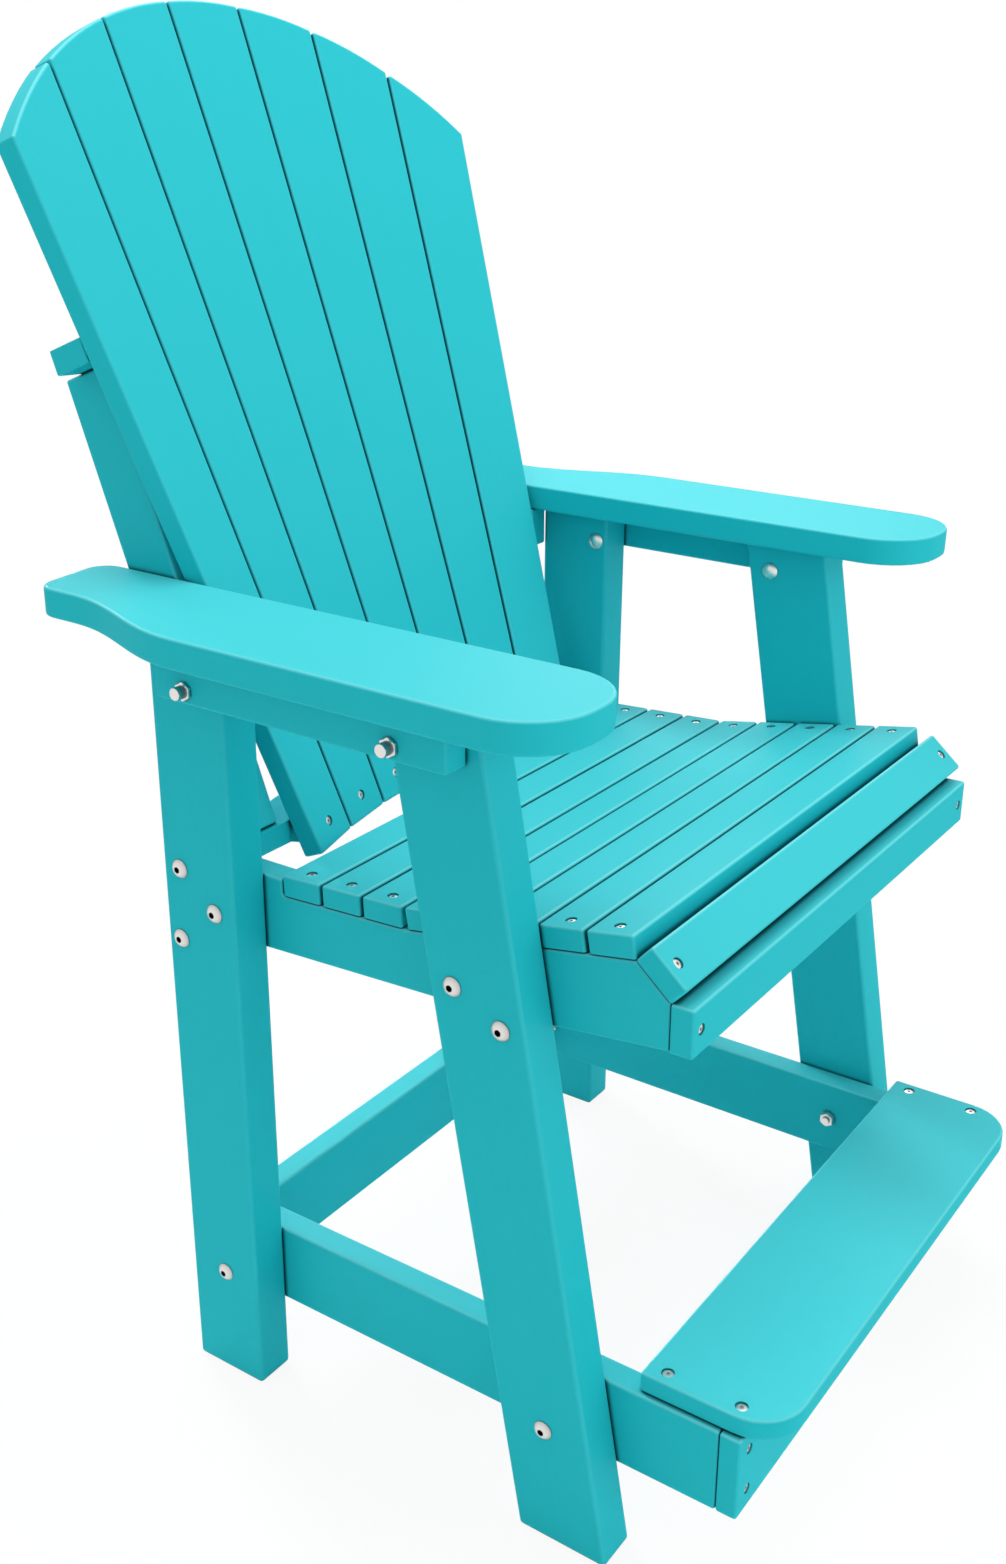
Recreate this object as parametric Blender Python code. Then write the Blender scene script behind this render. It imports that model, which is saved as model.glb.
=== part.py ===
"""Counter-height slatted armchair in poly lumber, one object for each board and bolt.

Metres, +Z up. The sitter faces -Y. While the pieces are placed, Y = 0 is the back edge of
the rear feet; the parent empty then brings the middle of the footprint to the origin.
"""

import math

import bmesh
import bpy
from mathutils import Matrix, Vector

# Clearances
GAP = 0.0003
ARM_TO_SUPPORT = 0.0011
SLAT_END_EASE = 0.0002
NUT_ROOM = 0.0015

# Stock
LEG_THICK = 0.04445
REAR_LEG_WIDTH = 0.0889
FRONT_LEG_WIDTH = 0.0945
BOARD_THICK = 0.0286
STRETCHER_WIDTH = 0.0889
SLAT_THICK = 0.021
SLAT_WIDTH = 0.0449
SLAT_GAP = 0.0036

# Stance
SEAT_LENGTH = 0.6096
REAR_LEG_LEAN = math.radians(0.43)
FRONT_LEG_LEAN = math.radians(9.87)
FOOT_SPREAD = 0.4174
STRETCHER_HEIGHT = 0.0825
STRETCHER_REACH = 0.0849
STRETCHER_REAR = 0.0074

# Seat: two flat runs that meet at a shallow bend
SEAT_BEND_BACK = 0.2605
SEAT_BEND_HEIGHT = 0.5675
REAR_RUN_SLOPE = math.radians(2.5)
FRONT_RUN_SLOPE = math.radians(9.7)
REAR_SLATS = 3
FRONT_SLATS = 5
NOSE_SLOPE = math.radians(41.6)
NOSE_LAND = 0.0006
STRINGER_NOSE = 0.0455
STRINGER_BELLY = 0.0585
STRINGER_BELLY_AHEAD = 0.069
STRINGER_HEEL = 0.0725
LEDGE_RISE = 0.017
HORN_RISE = 0.033
SEAT_APRON_WIDTH = 0.0455

# Back: flat slats standing on a cone whose axis leans towards the sitter
BACK_SLATS = 7
BACK_LEAN = math.radians(20.1)
CONE_ANGLE = math.radians(33.0)
BACK_TURN = math.radians(4.384)
BACK_APEX_RUN = 1.589
BACK_LENGTH = 0.828
BACK_CROWN_RADIUS = 0.446
BACK_SLAT_THICK = 0.0225
BACK_SLAT_GAP = 0.003
BACK_SETBACK = 0.0441
BACK_FOOT_RISE = 0.0005
CLEAT_THICK = 0.0238
CLEAT_DEPTH = 0.0485
CLEAT_UP_BACK = 0.4985
RAIL_DEPTH = 0.046
RAIL_BED_MARGIN = 0.002
RAIL_RUN_OUT = 0.004
SUPPORT_WIDTH = 0.061
SUPPORT_TAIL = 0.0185

# Arms: their top is measured above the back edge of the rear feet and falls towards the front
ARM_HEIGHT = 0.8419
ARM_SLOPE = math.radians(0.9)
ARM_THICK = 0.0286
ARM_WIDTH = 0.1397
ARM_TAIL_WIDTH = 0.0955
ARM_FRONT_REACH = 0.1123
ARM_TAIL_INNER_REACH = 0.1305
ARM_TAIL_OUTER_REACH = 0.1165
ARM_SWEEP_START = -0.099
ARM_SWEEP_LENGTH = 0.17
ARM_NOSE_RADIUS = 0.062
ARM_TAIL_RADIUS = 0.022
ARM_RAIL_WIDTH = 0.046
ARM_RAIL_FRONT_SETBACK = 0.0087
ARM_RAIL_REAR_LAP = 0.0505
ARM_BLOCK_LAP = 0.002

# Footrest
FOOTREST_DEPTH = 0.1415
FOOTREST_LENGTH = 0.5985
FOOTREST_OVERHANG = 0.0577
FOOTREST_RADIUS = 0.048

# Bolts: dimensions, with the head's dome as shares of its rise and radius, then each bolt's
# place as a share of the leg's width from its rear edge
BOLT_RADIUS = 0.00475
BOLT_HEAD_RADIUS = 0.0095
BOLT_HEAD_RISE = 0.005
BOLT_DOME = ((0.3, 1.0), (0.75, 0.84), (1.0, 0.58))
BOLT_SOCKET_WIDTH = 0.0062
BOLT_SOCKET_DEPTH = 0.003
NUT_WIDTH = 0.0155
NUT_THICK = 0.008
BOLT_TIP = 0.003
ARM_BOLT_TIP = 0.0085
BOLT_EDGE = 0.0097
HEEL_EDGE = 0.0145
REAR_UPPER_SHARE = 0.249
REAR_MIDDLE_SHARE = 0.721
REAR_LOWER_SHARE = 0.2025
FRONT_UPPER_SHARE = 0.286
FRONT_LOWER_SHARE = 0.704
LOW_REAR_SHARE = 0.526
LOW_FRONT_SHARE = 0.502
ARM_REAR_SHARE = 0.834
ARM_FRONT_SHARE = 0.33
REAR_UPPER_RISE = 0.005
REAR_MIDDLE_DROP = 0.031
BOTTOM_EDGE_RISE = 0.0128
FRONT_UPPER_DROP = 0.0258
ARM_BOLT_DROP = 0.033

# Screw pockets
POCKET_RADIUS = 0.0052
POCKET_DEPTH = 0.0035
SEAT_SCREW_INSET = 0.0175
FRONT_SCREW_INSET = 0.0145
BACK_SCREW_RISE = 0.0228
FOOTREST_REAR_SCREW = 0.021
FOOTREST_FRONT_SCREW = 0.095
APRON_SCREW_INSET = 0.0205
APRON_SCREW_EDGE = 0.0215

# Resolution
BORE_SIDES = 18
POCKET_SIDES = 16
ARC_STEPS = 8
CROWN_STEPS = 6
SOLVER_STEPS = 30
SHARP_ANGLE = math.radians(40)

# Colours and finishes
LUMBER_COLOUR = (0.02, 0.42, 0.50, 1.0)
LUMBER_ROUGHNESS = 0.45
STEEL_COLOUR = (0.62, 0.62, 0.63, 1.0)
STEEL_ROUGHNESS = 0.28

# Shared planes, worked out from the sizes above
LEG_INNER = SEAT_LENGTH / 2
LEG_OUTER = LEG_INNER + LEG_THICK
BOARD_OUTER = LEG_INNER - GAP
BOARD_INNER = BOARD_OUTER - BOARD_THICK
SUPPORT_OUTER = BOARD_INNER - GAP
SUPPORT_INNER = SUPPORT_OUTER - BOARD_THICK
STRETCHER_TOP = STRETCHER_HEIGHT + STRETCHER_WIDTH

X_AXIS = Vector((1, 0, 0))
Y_AXIS = Vector((0, 1, 0))
Z_AXIS = Vector((0, 0, 1))
SIDES = (("right", -1), ("left", 1))


def frame(origin, u, v, w):
    """Placement whose local axes u, v and w stand at the origin given."""
    place = Matrix((u, v, w)).transposed().to_4x4()
    place.translation = origin
    return place


def across(x):
    """Placement of a profile drawn in Y and Z and extruded along X from the plane at x."""
    return frame(X_AXIS * x, Y_AXIS, Z_AXIS, X_AXIS)


def circle(centre, radius, sides):
    """Corners of a regular polygon about a point."""
    angles = [2 * math.pi * k / sides for k in range(sides)]
    return [(centre[0] + radius * math.cos(a), centre[1] + radius * math.sin(a)) for a in angles]


def rounded(corners):
    """Outline through (u, v, radius) corners, with each radius drawn as an arc."""
    outline = []
    for index, (u, v, radius) in enumerate(corners):
        here = Vector((u, v))
        if radius == 0:
            outline.append(here)
            continue
        before = (Vector(corners[index - 1][:2]) - here).normalized()
        after = (Vector(corners[(index + 1) % len(corners)][:2]) - here).normalized()
        half = before.angle(after) / 2
        centre = here + (before + after).normalized() * (radius / math.sin(half))
        first = here + before * (radius / math.tan(half)) - centre
        last = here + after * (radius / math.tan(half)) - centre
        start = math.atan2(first.y, first.x)
        sweep = math.remainder(math.atan2(last.y, last.x) - start, 2 * math.pi)
        for step in range(ARC_STEPS + 1):
            angle = start + sweep * step / ARC_STEPS
            outline.append(centre + radius * Vector((math.cos(angle), math.sin(angle))))
    return outline


def rectangle(u0, u1, v0, v1):
    """Corners of a rectangle."""
    return [(u0, v0), (u1, v0), (u1, v1), (u0, v1)]


def finish(obj, colour, roughness, metallic):
    """Give a piece its own material."""
    material = bpy.data.materials.new(obj.name)
    material.use_nodes = True
    shader = material.node_tree.nodes["Principled BSDF"]
    shader.inputs["Base Color"].default_value = colour
    shader.inputs["Roughness"].default_value = roughness
    shader.inputs["Metallic"].default_value = metallic
    obj.data.materials.append(material)


def add_object(name, bm, place):
    """Turn a bmesh into a named object that belongs to the chair."""
    bmesh.ops.recalc_face_normals(bm, faces=bm.faces)
    mesh = bpy.data.meshes.new(name)
    bm.to_mesh(mesh)
    bm.free()
    obj = bpy.data.objects.new(name, mesh)
    bpy.context.collection.objects.link(obj)
    obj.parent = chair
    obj.matrix_local = place
    return obj


def ring(bm, points, w):
    """Closed loop of vertices at height w."""
    return [bm.verts.new((p[0], p[1], w)) for p in points]


def loop_edges(bm, verts):
    """Edges round a loop of vertices."""
    return [bm.edges.new((verts[k - 1], verts[k])) for k in range(len(verts))]


def wall(bm, lower, upper):
    """Faces between two loops of the same length."""
    for k in range(len(lower)):
        bm.faces.new((lower[k - 1], lower[k], upper[k], upper[k - 1]))


def lumber(name, outline, thick, place, bores=(), pockets=()):
    """Board of an outline in u and v, from w = 0 to w = thick.

    Bores for bolts go right through; screw pockets open at w = thick.
    """
    bm = bmesh.new()
    bottom = ring(bm, outline, 0)
    top = ring(bm, outline, thick)
    bottom_edges = loop_edges(bm, bottom)
    top_edges = loop_edges(bm, top)
    wall(bm, bottom, top)
    for centre in bores:
        shape = circle(centre, BOLT_RADIUS + GAP, BORE_SIDES)
        low = ring(bm, shape, 0)
        high = ring(bm, shape, thick)
        bottom_edges += loop_edges(bm, low)
        top_edges += loop_edges(bm, high)
        wall(bm, low, high)
    for centre in pockets:
        shape = circle(centre, POCKET_RADIUS, POCKET_SIDES)
        low = ring(bm, shape, thick - POCKET_DEPTH)
        high = ring(bm, shape, thick)
        top_edges += loop_edges(bm, high)
        wall(bm, low, high)
        bm.faces.new(low)
    bmesh.ops.triangle_fill(bm, edges=bottom_edges, use_beauty=True)
    bmesh.ops.triangle_fill(bm, edges=top_edges, use_beauty=True)
    obj = add_object(name, bm, place)
    finish(obj, LUMBER_COLOUR, LUMBER_ROUGHNESS, 0.0)
    return obj


def loft(name, low, high):
    """Board between two closed outlines of as many points; points that coincide are merged."""
    bm = bmesh.new()
    lower = [bm.verts.new(p) for p in low]
    upper = [bm.verts.new(p) for p in high]
    wall(bm, lower, upper)
    bm.faces.new(lower)
    bm.faces.new(upper)
    bmesh.ops.remove_doubles(bm, verts=bm.verts, dist=GAP / 10)
    obj = add_object(name, bm, Matrix())
    finish(obj, LUMBER_COLOUR, LUMBER_ROUGHNESS, 0.0)
    return obj


def hexagon_radius(width, angle):
    """Distance from the middle of a hexagon to its edge, for its width across flats."""
    return width / 2 / math.cos(math.remainder(angle, math.pi / 3))


def bolt(name, seat, out, grip, tip=BOLT_TIP, socketed=True):
    """Round-head bolt and its nut; the head is plain or has a hexagon socket.

    seat is where the head's axis meets the clamped stack, out is +1 where the head looks
    towards +X, and grip is the thickness of the stack.
    """
    angles = [2 * math.pi * k / BORE_SIDES for k in range(BORE_SIDES)]
    shank = [BOLT_RADIUS] * BORE_SIDES
    nut = [hexagon_radius(NUT_WIDTH, a) for a in angles]
    socket = [hexagon_radius(BOLT_SOCKET_WIDTH, a) for a in angles]
    nut_face = -grip - GAP
    head_top = GAP + BOLT_HEAD_RISE
    dome = [(GAP + rise * BOLT_HEAD_RISE, [share * BOLT_HEAD_RADIUS] * BORE_SIDES)
            for rise, share in BOLT_DOME]
    sections = [
        (nut_face - NUT_THICK - tip, shank),
        (nut_face - NUT_THICK, shank),
        (nut_face - NUT_THICK, nut),
        (nut_face, nut),
        (nut_face, shank),
        (GAP, shank),
        (GAP, [BOLT_HEAD_RADIUS] * BORE_SIDES),
        *dome,
    ]
    if socketed:
        sections += [(head_top, socket), (head_top - BOLT_SOCKET_DEPTH, socket)]
    bm = bmesh.new()
    rings = []
    for x, radii in sections:
        points = [(x, r * math.cos(a), r * math.sin(a)) for r, a in zip(radii, angles)]
        rings.append([bm.verts.new(p) for p in points])
    for lower, upper in zip(rings, rings[1:]):
        wall(bm, lower, upper)
    bm.faces.new(rings[0])
    bm.faces.new(rings[-1])
    turn = Matrix() if out > 0 else Matrix.Rotation(math.pi, 4, "Z")
    obj = add_object(name, bm, Matrix.Translation(seat) @ turn)
    finish(obj, STEEL_COLOUR, STEEL_ROUGHNESS, 1.0)
    obj.data.shade_smooth()
    obj.data.set_sharp_from_angle(angle=SHARP_ANGLE)
    return obj


# Legs

def rear_leg_y(z, share=0.0):
    """Y of a rear leg at a height, at a share of its width ahead of its rear edge."""
    return -z * math.tan(REAR_LEG_LEAN) - share * REAR_LEG_WIDTH / math.cos(REAR_LEG_LEAN)


def front_leg_y(z, share=0.0):
    """Y of a front leg at a height, at a share of its width ahead of its rear edge."""
    edge = -FOOT_SPREAD + z * math.tan(FRONT_LEG_LEAN)
    return edge - share * FRONT_LEG_WIDTH / math.cos(FRONT_LEG_LEAN)


def under_arm(y):
    """Height of what carries an arm, at y."""
    return ARM_HEIGHT + y * math.tan(ARM_SLOPE) - (ARM_THICK + GAP) / math.cos(ARM_SLOPE)


def leg_top(edge, share=0.0):
    """Corner (y, z) where an edge of a leg meets the arm's underside."""
    z = ARM_HEIGHT
    for _ in range(SOLVER_STEPS):
        z = under_arm(edge(z, share))
    return edge(z, share), z


def leg_outline(edge):
    """Outline of a leg cut level at the floor and to the arm's slope at its top."""
    return [(edge(0), 0), leg_top(edge), leg_top(edge, 1), (edge(0, 1), 0)]


# Seat lines, each as a point (y, z)

def seat_points():
    """Corners of the stringers' top edge: front end, chamfer top, bend and rear end of slats."""
    pitch = SLAT_WIDTH + SLAT_GAP
    closing = SLAT_THICK * math.tan((FRONT_RUN_SLOPE - REAR_RUN_SLOPE) / 2)
    clear = SLAT_GAP / 2 + closing
    bend = Vector((-SEAT_BEND_BACK, SEAT_BEND_HEIGHT))
    ahead = Vector((-math.cos(FRONT_RUN_SLOPE), math.sin(FRONT_RUN_SLOPE)))
    behind = Vector((math.cos(REAR_RUN_SLOPE), -math.sin(REAR_RUN_SLOPE)))
    down = Vector((-math.cos(NOSE_SLOPE), -math.sin(NOSE_SLOPE)))
    front_run = clear + FRONT_SLATS * pitch - SLAT_GAP + SLAT_END_EASE
    rear_run = clear + REAR_SLATS * pitch - SLAT_GAP + SLAT_END_EASE
    rear_run += LEDGE_RISE * math.tan(REAR_RUN_SLOPE)
    chamfer = bend + ahead * front_run
    front = chamfer + down * (SLAT_WIDTH + NOSE_LAND)
    return front, chamfer, bend, bend + behind * rear_run, clear


SEAT_FRONT, SEAT_CHAMFER, SEAT_BEND, SEAT_REAR, BEND_CLEAR = seat_points()
LEDGE = SEAT_REAR.y + LEDGE_RISE
RAIL_LOW = LEDGE + GAP
RAIL_HIGH = RAIL_LOW + CLEAT_THICK


def stringer_bottom(y):
    """Height of the stringer's lower edge at y."""
    belly_y = -SEAT_BEND_BACK - STRINGER_BELLY_AHEAD
    belly_z = SEAT_BEND_HEIGHT - STRINGER_BELLY
    if y > belly_y:
        end_y, end_z = heel_y(), SEAT_BEND_HEIGHT - STRINGER_HEEL
    else:
        end_y, end_z = SEAT_FRONT.x, SEAT_FRONT.y - STRINGER_NOSE
    return belly_z + (end_z - belly_z) * (y - belly_y) / (end_y - belly_y)


def rear_upper_bolt():
    """Place of the bolt through leg, stringer horn and back support."""
    z = LEDGE + REAR_UPPER_RISE
    return rear_leg_y(z, REAR_UPPER_SHARE), z


def heel_y():
    """Y of the stringer's rear end."""
    return rear_upper_bolt()[0] + HEEL_EDGE


def horn_y():
    """Y of the front of the stringer's horn, just behind the lower back rail."""
    return rear_upper_bolt()[0] - BOLT_EDGE


def seat_bolts():
    """Places (y, z) of the stringer's bolts: upper rear, middle rear, lower rear, two front."""
    middle_z = LEDGE - REAR_MIDDLE_DROP
    middle = (rear_leg_y(middle_z, REAR_MIDDLE_SHARE), middle_z)
    lower_y = rear_leg_y(SEAT_BEND_HEIGHT - STRINGER_HEEL, REAR_LOWER_SHARE)
    lower = (lower_y, stringer_bottom(lower_y) + BOTTOM_EDGE_RISE)
    upper_y = front_leg_y(SEAT_BEND_HEIGHT, FRONT_UPPER_SHARE)
    top_here = SEAT_BEND.y - (upper_y - SEAT_BEND.x) * math.tan(FRONT_RUN_SLOPE)
    front_upper = (upper_y, top_here - FRONT_UPPER_DROP)
    front_y = front_leg_y(SEAT_BEND_HEIGHT - STRINGER_BELLY, FRONT_LOWER_SHARE)
    front_lower = (front_y, stringer_bottom(front_y) + BOTTOM_EDGE_RISE)
    return rear_upper_bolt(), middle, lower, front_upper, front_lower


def stringer_outline():
    """Profile of a seat stringer, from its rear lower corner forwards and back over the top."""
    belly_y = -SEAT_BEND_BACK - STRINGER_BELLY_AHEAD
    return [
        (heel_y(), SEAT_BEND_HEIGHT - STRINGER_HEEL),
        (belly_y, SEAT_BEND_HEIGHT - STRINGER_BELLY),
        (SEAT_FRONT.x, SEAT_FRONT.y - STRINGER_NOSE),
        SEAT_FRONT,
        SEAT_CHAMFER,
        SEAT_BEND,
        SEAT_REAR,
        (SEAT_REAR.x, LEDGE),
        (horn_y(), LEDGE),
        (horn_y(), LEDGE + HORN_RISE),
        (heel_y(), LEDGE + HORN_RISE),
    ]


def seat_slat(name, origin, slope, inset=SEAT_SCREW_INSET):
    """Slat across the stringers; slope is the rise of its top towards the rear."""
    along = Vector((0, math.cos(slope), math.sin(slope)))
    up = X_AXIS.cross(along)
    half = LEG_INNER - GAP
    screws = [(side * (half - inset), 0) for side in (-1, 1)]
    outline = rectangle(-half, half, -SLAT_WIDTH / 2, SLAT_WIDTH / 2)
    place = frame(Vector((0, *origin)) + up * GAP, X_AXIS, along, up)
    lumber(name, outline, SLAT_THICK, place, pockets=screws)


def build_seat():
    """Stringers, seat slats, nose slat and the apron under it."""
    bolts = seat_bolts()
    for label, side in SIDES:
        start = min(side * BOARD_INNER, side * BOARD_OUTER)
        lumber(f"seat_stringer_{label}", stringer_outline(), BOARD_THICK, across(start), bores=bolts)
    pitch = SLAT_WIDTH + SLAT_GAP
    behind = Vector((math.cos(REAR_RUN_SLOPE), -math.sin(REAR_RUN_SLOPE)))
    ahead = Vector((-math.cos(FRONT_RUN_SLOPE), math.sin(FRONT_RUN_SLOPE)))
    for index in range(REAR_SLATS):
        middle = SEAT_BEND + behind * (BEND_CLEAR + SLAT_WIDTH / 2 + index * pitch)
        seat_slat(f"seat_slat_{REAR_SLATS - index}", middle, -REAR_RUN_SLOPE)
    for index in range(FRONT_SLATS):
        middle = SEAT_BEND + ahead * (BEND_CLEAR + SLAT_WIDTH / 2 + index * pitch)
        seat_slat(f"seat_slat_{REAR_SLATS + 1 + index}", middle, -FRONT_RUN_SLOPE)
    seat_slat("seat_nose_slat", (SEAT_CHAMFER + SEAT_FRONT) / 2, NOSE_SLOPE, FRONT_SCREW_INSET)
    half = LEG_INNER - GAP
    low = SEAT_FRONT.y - STRINGER_NOSE
    place = frame(Vector((0, SEAT_FRONT.x - GAP, low)), X_AXIS, Z_AXIS, -Y_AXIS)
    screws = [(side * (half - FRONT_SCREW_INSET), SEAT_APRON_WIDTH / 2) for side in (-1, 1)]
    outline = rectangle(-half, half, 0, SEAT_APRON_WIDTH)
    lumber("seat_apron", outline, SLAT_THICK, place, pockets=screws)


# Back

CONE_TILT = CONE_ANGLE - BACK_LEAN
CONE_AXIS = Vector((0, -math.sin(CONE_TILT), math.cos(CONE_TILT)))
CONE_OUT = Vector((0, math.cos(CONE_TILT), math.sin(CONE_TILT)))
BACK_UP = Vector((0, math.sin(BACK_LEAN), math.cos(BACK_LEAN)))
BACK_REAR = Vector((0, math.cos(BACK_LEAN), -math.sin(BACK_LEAN)))
BACK_FOOT = Vector((0, SEAT_REAR.x + BACK_SETBACK, LEDGE + BACK_FOOT_RISE))
CONE_APEX = BACK_FOOT - BACK_UP * BACK_APEX_RUN
SLAT_NUMBERS = [k - (BACK_SLATS - 1) / 2 for k in range(BACK_SLATS)]


def back_axes(number):
    """Axes of a back slat, counted from the middle one: across, up along it, and rearwards."""
    turn = number * BACK_TURN
    out = CONE_OUT * math.cos(turn) + X_AXIS * math.sin(turn)
    side = X_AXIS * math.cos(turn) - CONE_OUT * math.sin(turn)
    up = CONE_AXIS * math.cos(CONE_ANGLE) + out * math.sin(CONE_ANGLE)
    rear = out * math.cos(CONE_ANGLE) - CONE_AXIS * math.sin(CONE_ANGLE)
    return side, up, rear


def back_half_width(run):
    """Half the width of a back slat at a distance from the cone's apex."""
    return run * math.sin(CONE_ANGLE) * math.tan(BACK_TURN / 2) - BACK_SLAT_GAP / 2


def crown_run(number, across_slat):
    """Distance from the apex to the crown arc, at a place across a slat.

    The arc is a circle about a point of the middle slat, drawn on the back laid flat.
    """
    centre_run = BACK_APEX_RUN + BACK_LENGTH - BACK_CROWN_RADIUS
    fan = number * BACK_TURN * math.sin(CONE_ANGLE)
    reach = across_slat + centre_run * math.sin(fan)
    return centre_run * math.cos(fan) + math.sqrt(BACK_CROWN_RADIUS ** 2 - reach ** 2)


def crown_corner(number, edge):
    """Where one long edge of a slat (-1 or 1) meets the crown arc."""
    run = BACK_APEX_RUN + BACK_LENGTH
    for _ in range(SOLVER_STEPS):
        run = crown_run(number, edge * back_half_width(run))
    return edge * back_half_width(run)


def back_outline(number):
    """Outline of a back slat, from its foot upwards."""
    foot = back_half_width(BACK_APEX_RUN)
    left, right = crown_corner(number, -1), crown_corner(number, 1)
    crown = [right + (left - right) * step / CROWN_STEPS for step in range(CROWN_STEPS + 1)]
    top = [(u, crown_run(number, u) - BACK_APEX_RUN) for u in crown]
    return [(-foot, 0), (foot, 0), *top]


def meet(*planes):
    """Point shared by three planes, each a normal and its distance from the origin."""
    normals = Matrix([plane[0] for plane in planes])
    return normals.inverted() @ Vector([plane[1] for plane in planes])


def bed_planes():
    """Planes that clear the slats' rear faces by the gap."""
    planes = []
    for number in SLAT_NUMBERS:
        rear = back_axes(number)[2]
        planes.append((rear, rear.dot(CONE_APEX) + BACK_SLAT_THICK + GAP))
    return planes


def bed_line(cut, half):
    """Faceted line behind the slats on a cutting plane, between -half and half in X."""
    planes = bed_planes()
    inner = [meet(a, b, cut) for a, b in zip(planes, planes[1:])]
    return [meet(planes[0], cut, (X_AXIS, -half)), *inner, meet(planes[-1], cut, (X_AXIS, half))]


def bed_y(x, z):
    """Y of the clearing surface behind the slats at x and z."""
    return min(meet(plane, (X_AXIS, x), (Z_AXIS, z)).y for plane in bed_planes())


CLEAT_LOW = BACK_UP.dot(BACK_FOOT) + CLEAT_UP_BACK - CLEAT_THICK / 2
CLEAT_HIGH = CLEAT_LOW + CLEAT_THICK


def upper_cleat():
    """Board behind the slats, square to the middle one and hollowed to fit them."""
    outlines = []
    for level in (CLEAT_LOW, CLEAT_HIGH):
        line = bed_line((BACK_UP, level), LEG_INNER)
        outlines.append(line + [p + BACK_REAR * CLEAT_DEPTH for p in reversed(line)])
    loft("back_upper_cleat", *outlines)


def lower_rail():
    """Level board on the stringers' ledges, hollowed to the slats and notched for the supports."""
    half = LEG_INNER - GAP
    side, up, rear = back_axes(SLAT_NUMBERS[-1])
    foot = CONE_APEX + up * BACK_APEX_RUN + side * back_half_width(BACK_APEX_RUN + BACK_FOOT_RISE)
    bed = foot.x + RAIL_BED_MARGIN
    low = bed_line((Z_AXIS, RAIL_LOW), bed)
    high = bed_line((Z_AXIS, RAIL_HIGH), bed)
    end_y = high[0].y
    notch_x = SUPPORT_INNER - GAP - NUT_THICK - BOLT_TIP - NUT_ROOM
    notch_y = horn_y() - GAP
    middle = [(p.x, p.y + RAIL_DEPTH) for p in reversed(high) if abs(p.x) < notch_x]
    back_edge = [(half, notch_y), (notch_x, notch_y), (notch_x, end_y + RAIL_DEPTH)]
    back_edge += middle
    back_edge += [(-notch_x, end_y + RAIL_DEPTH), (-notch_x, notch_y), (-half, notch_y)]
    front_low = [(-half, end_y), (-bed - RAIL_RUN_OUT, end_y)]
    front_low += [(p.x, p.y) for p in low]
    front_low += [(bed + RAIL_RUN_OUT, end_y), (half, end_y)]
    front_high = [(-half, end_y), (-bed, end_y)]
    front_high += [(p.x, p.y) for p in high]
    front_high += [(bed, end_y), (half, end_y)]
    lower = [(x, y, RAIL_LOW) for x, y in front_low + back_edge]
    upper = [(x, y, RAIL_HIGH) for x, y in front_high + back_edge]
    loft("back_lower_rail", lower, upper)


def support_front():
    """Y at floor level of the supports' front edge, whose inner corner rests behind the slats."""
    slope = math.tan(BACK_LEAN)
    top = (CLEAT_LOW - BACK_UP.y * bed_y(0, RAIL_HIGH)) / BACK_UP.z
    return max(bed_y(x, z) - slope * z for x in (SUPPORT_INNER, SUPPORT_OUTER) for z in (RAIL_HIGH, top))


def support_outline():
    """Profile of a back support: it stands on the rail, with a tail behind it for the bolt."""
    slope = math.tan(BACK_LEAN)
    front = support_front()
    rear = front + SUPPORT_WIDTH / math.cos(BACK_LEAN)
    seat = RAIL_HIGH + GAP
    tail = LEDGE - SUPPORT_TAIL
    cut = CLEAT_LOW - GAP
    top_front = (cut - BACK_UP.y * front) / (BACK_UP.z + BACK_UP.y * slope)
    top_rear = (cut - BACK_UP.y * rear) / (BACK_UP.z + BACK_UP.y * slope)
    return [
        (horn_y(), tail),
        (rear + slope * tail, tail),
        (rear + slope * top_rear, top_rear),
        (front + slope * top_front, top_front),
        (front + slope * seat, seat),
        (horn_y(), seat),
    ]


def build_back():
    """Slats, upper cleat, lower rail and the two supports."""
    for index, number in enumerate(SLAT_NUMBERS):
        side, up, rear = back_axes(number)
        origin = CONE_APEX + up * BACK_APEX_RUN + rear * BACK_SLAT_THICK
        place = frame(origin, side, up, -rear)
        screws = [(0, BACK_SCREW_RISE)]
        lumber(f"back_slat_{index + 1}", back_outline(number), BACK_SLAT_THICK, place, pockets=screws)
    upper_cleat()
    lower_rail()
    for label, side in SIDES:
        start = min(side * SUPPORT_INNER, side * SUPPORT_OUTER)
        bolts = [rear_upper_bolt()]
        lumber(f"back_support_{label}", support_outline(), BOARD_THICK, across(start), bores=bolts)


# Arms

def arm_outline(side):
    """Outline of an arm from above: round nose, straight inner edge, outer edge swept to a tail."""
    inner = SUPPORT_OUTER + ARM_TO_SUPPORT
    outer = inner + ARM_WIDTH
    tail = inner + ARM_TAIL_WIDTH
    front = leg_top(front_leg_y, 1)[0] - ARM_FRONT_REACH
    rear = leg_top(rear_leg_y)[0]
    sweep = []
    for step in range(2 * ARC_STEPS + 1):
        share = step / (2 * ARC_STEPS)
        narrowing = (outer - tail) * (1 - math.cos(math.pi * share)) / 2
        sweep.append((outer - narrowing, rear + ARM_SWEEP_START + ARM_SWEEP_LENGTH * share, 0))
    corners = [
        (inner, rear + ARM_TAIL_INNER_REACH, ARM_TAIL_RADIUS),
        (inner, front, ARM_NOSE_RADIUS),
        (outer, front, ARM_NOSE_RADIUS),
        *sweep,
        (tail, rear + ARM_TAIL_OUTER_REACH, ARM_TAIL_RADIUS),
    ]
    return [(side * p[0], p[1]) for p in rounded(corners)]


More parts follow.
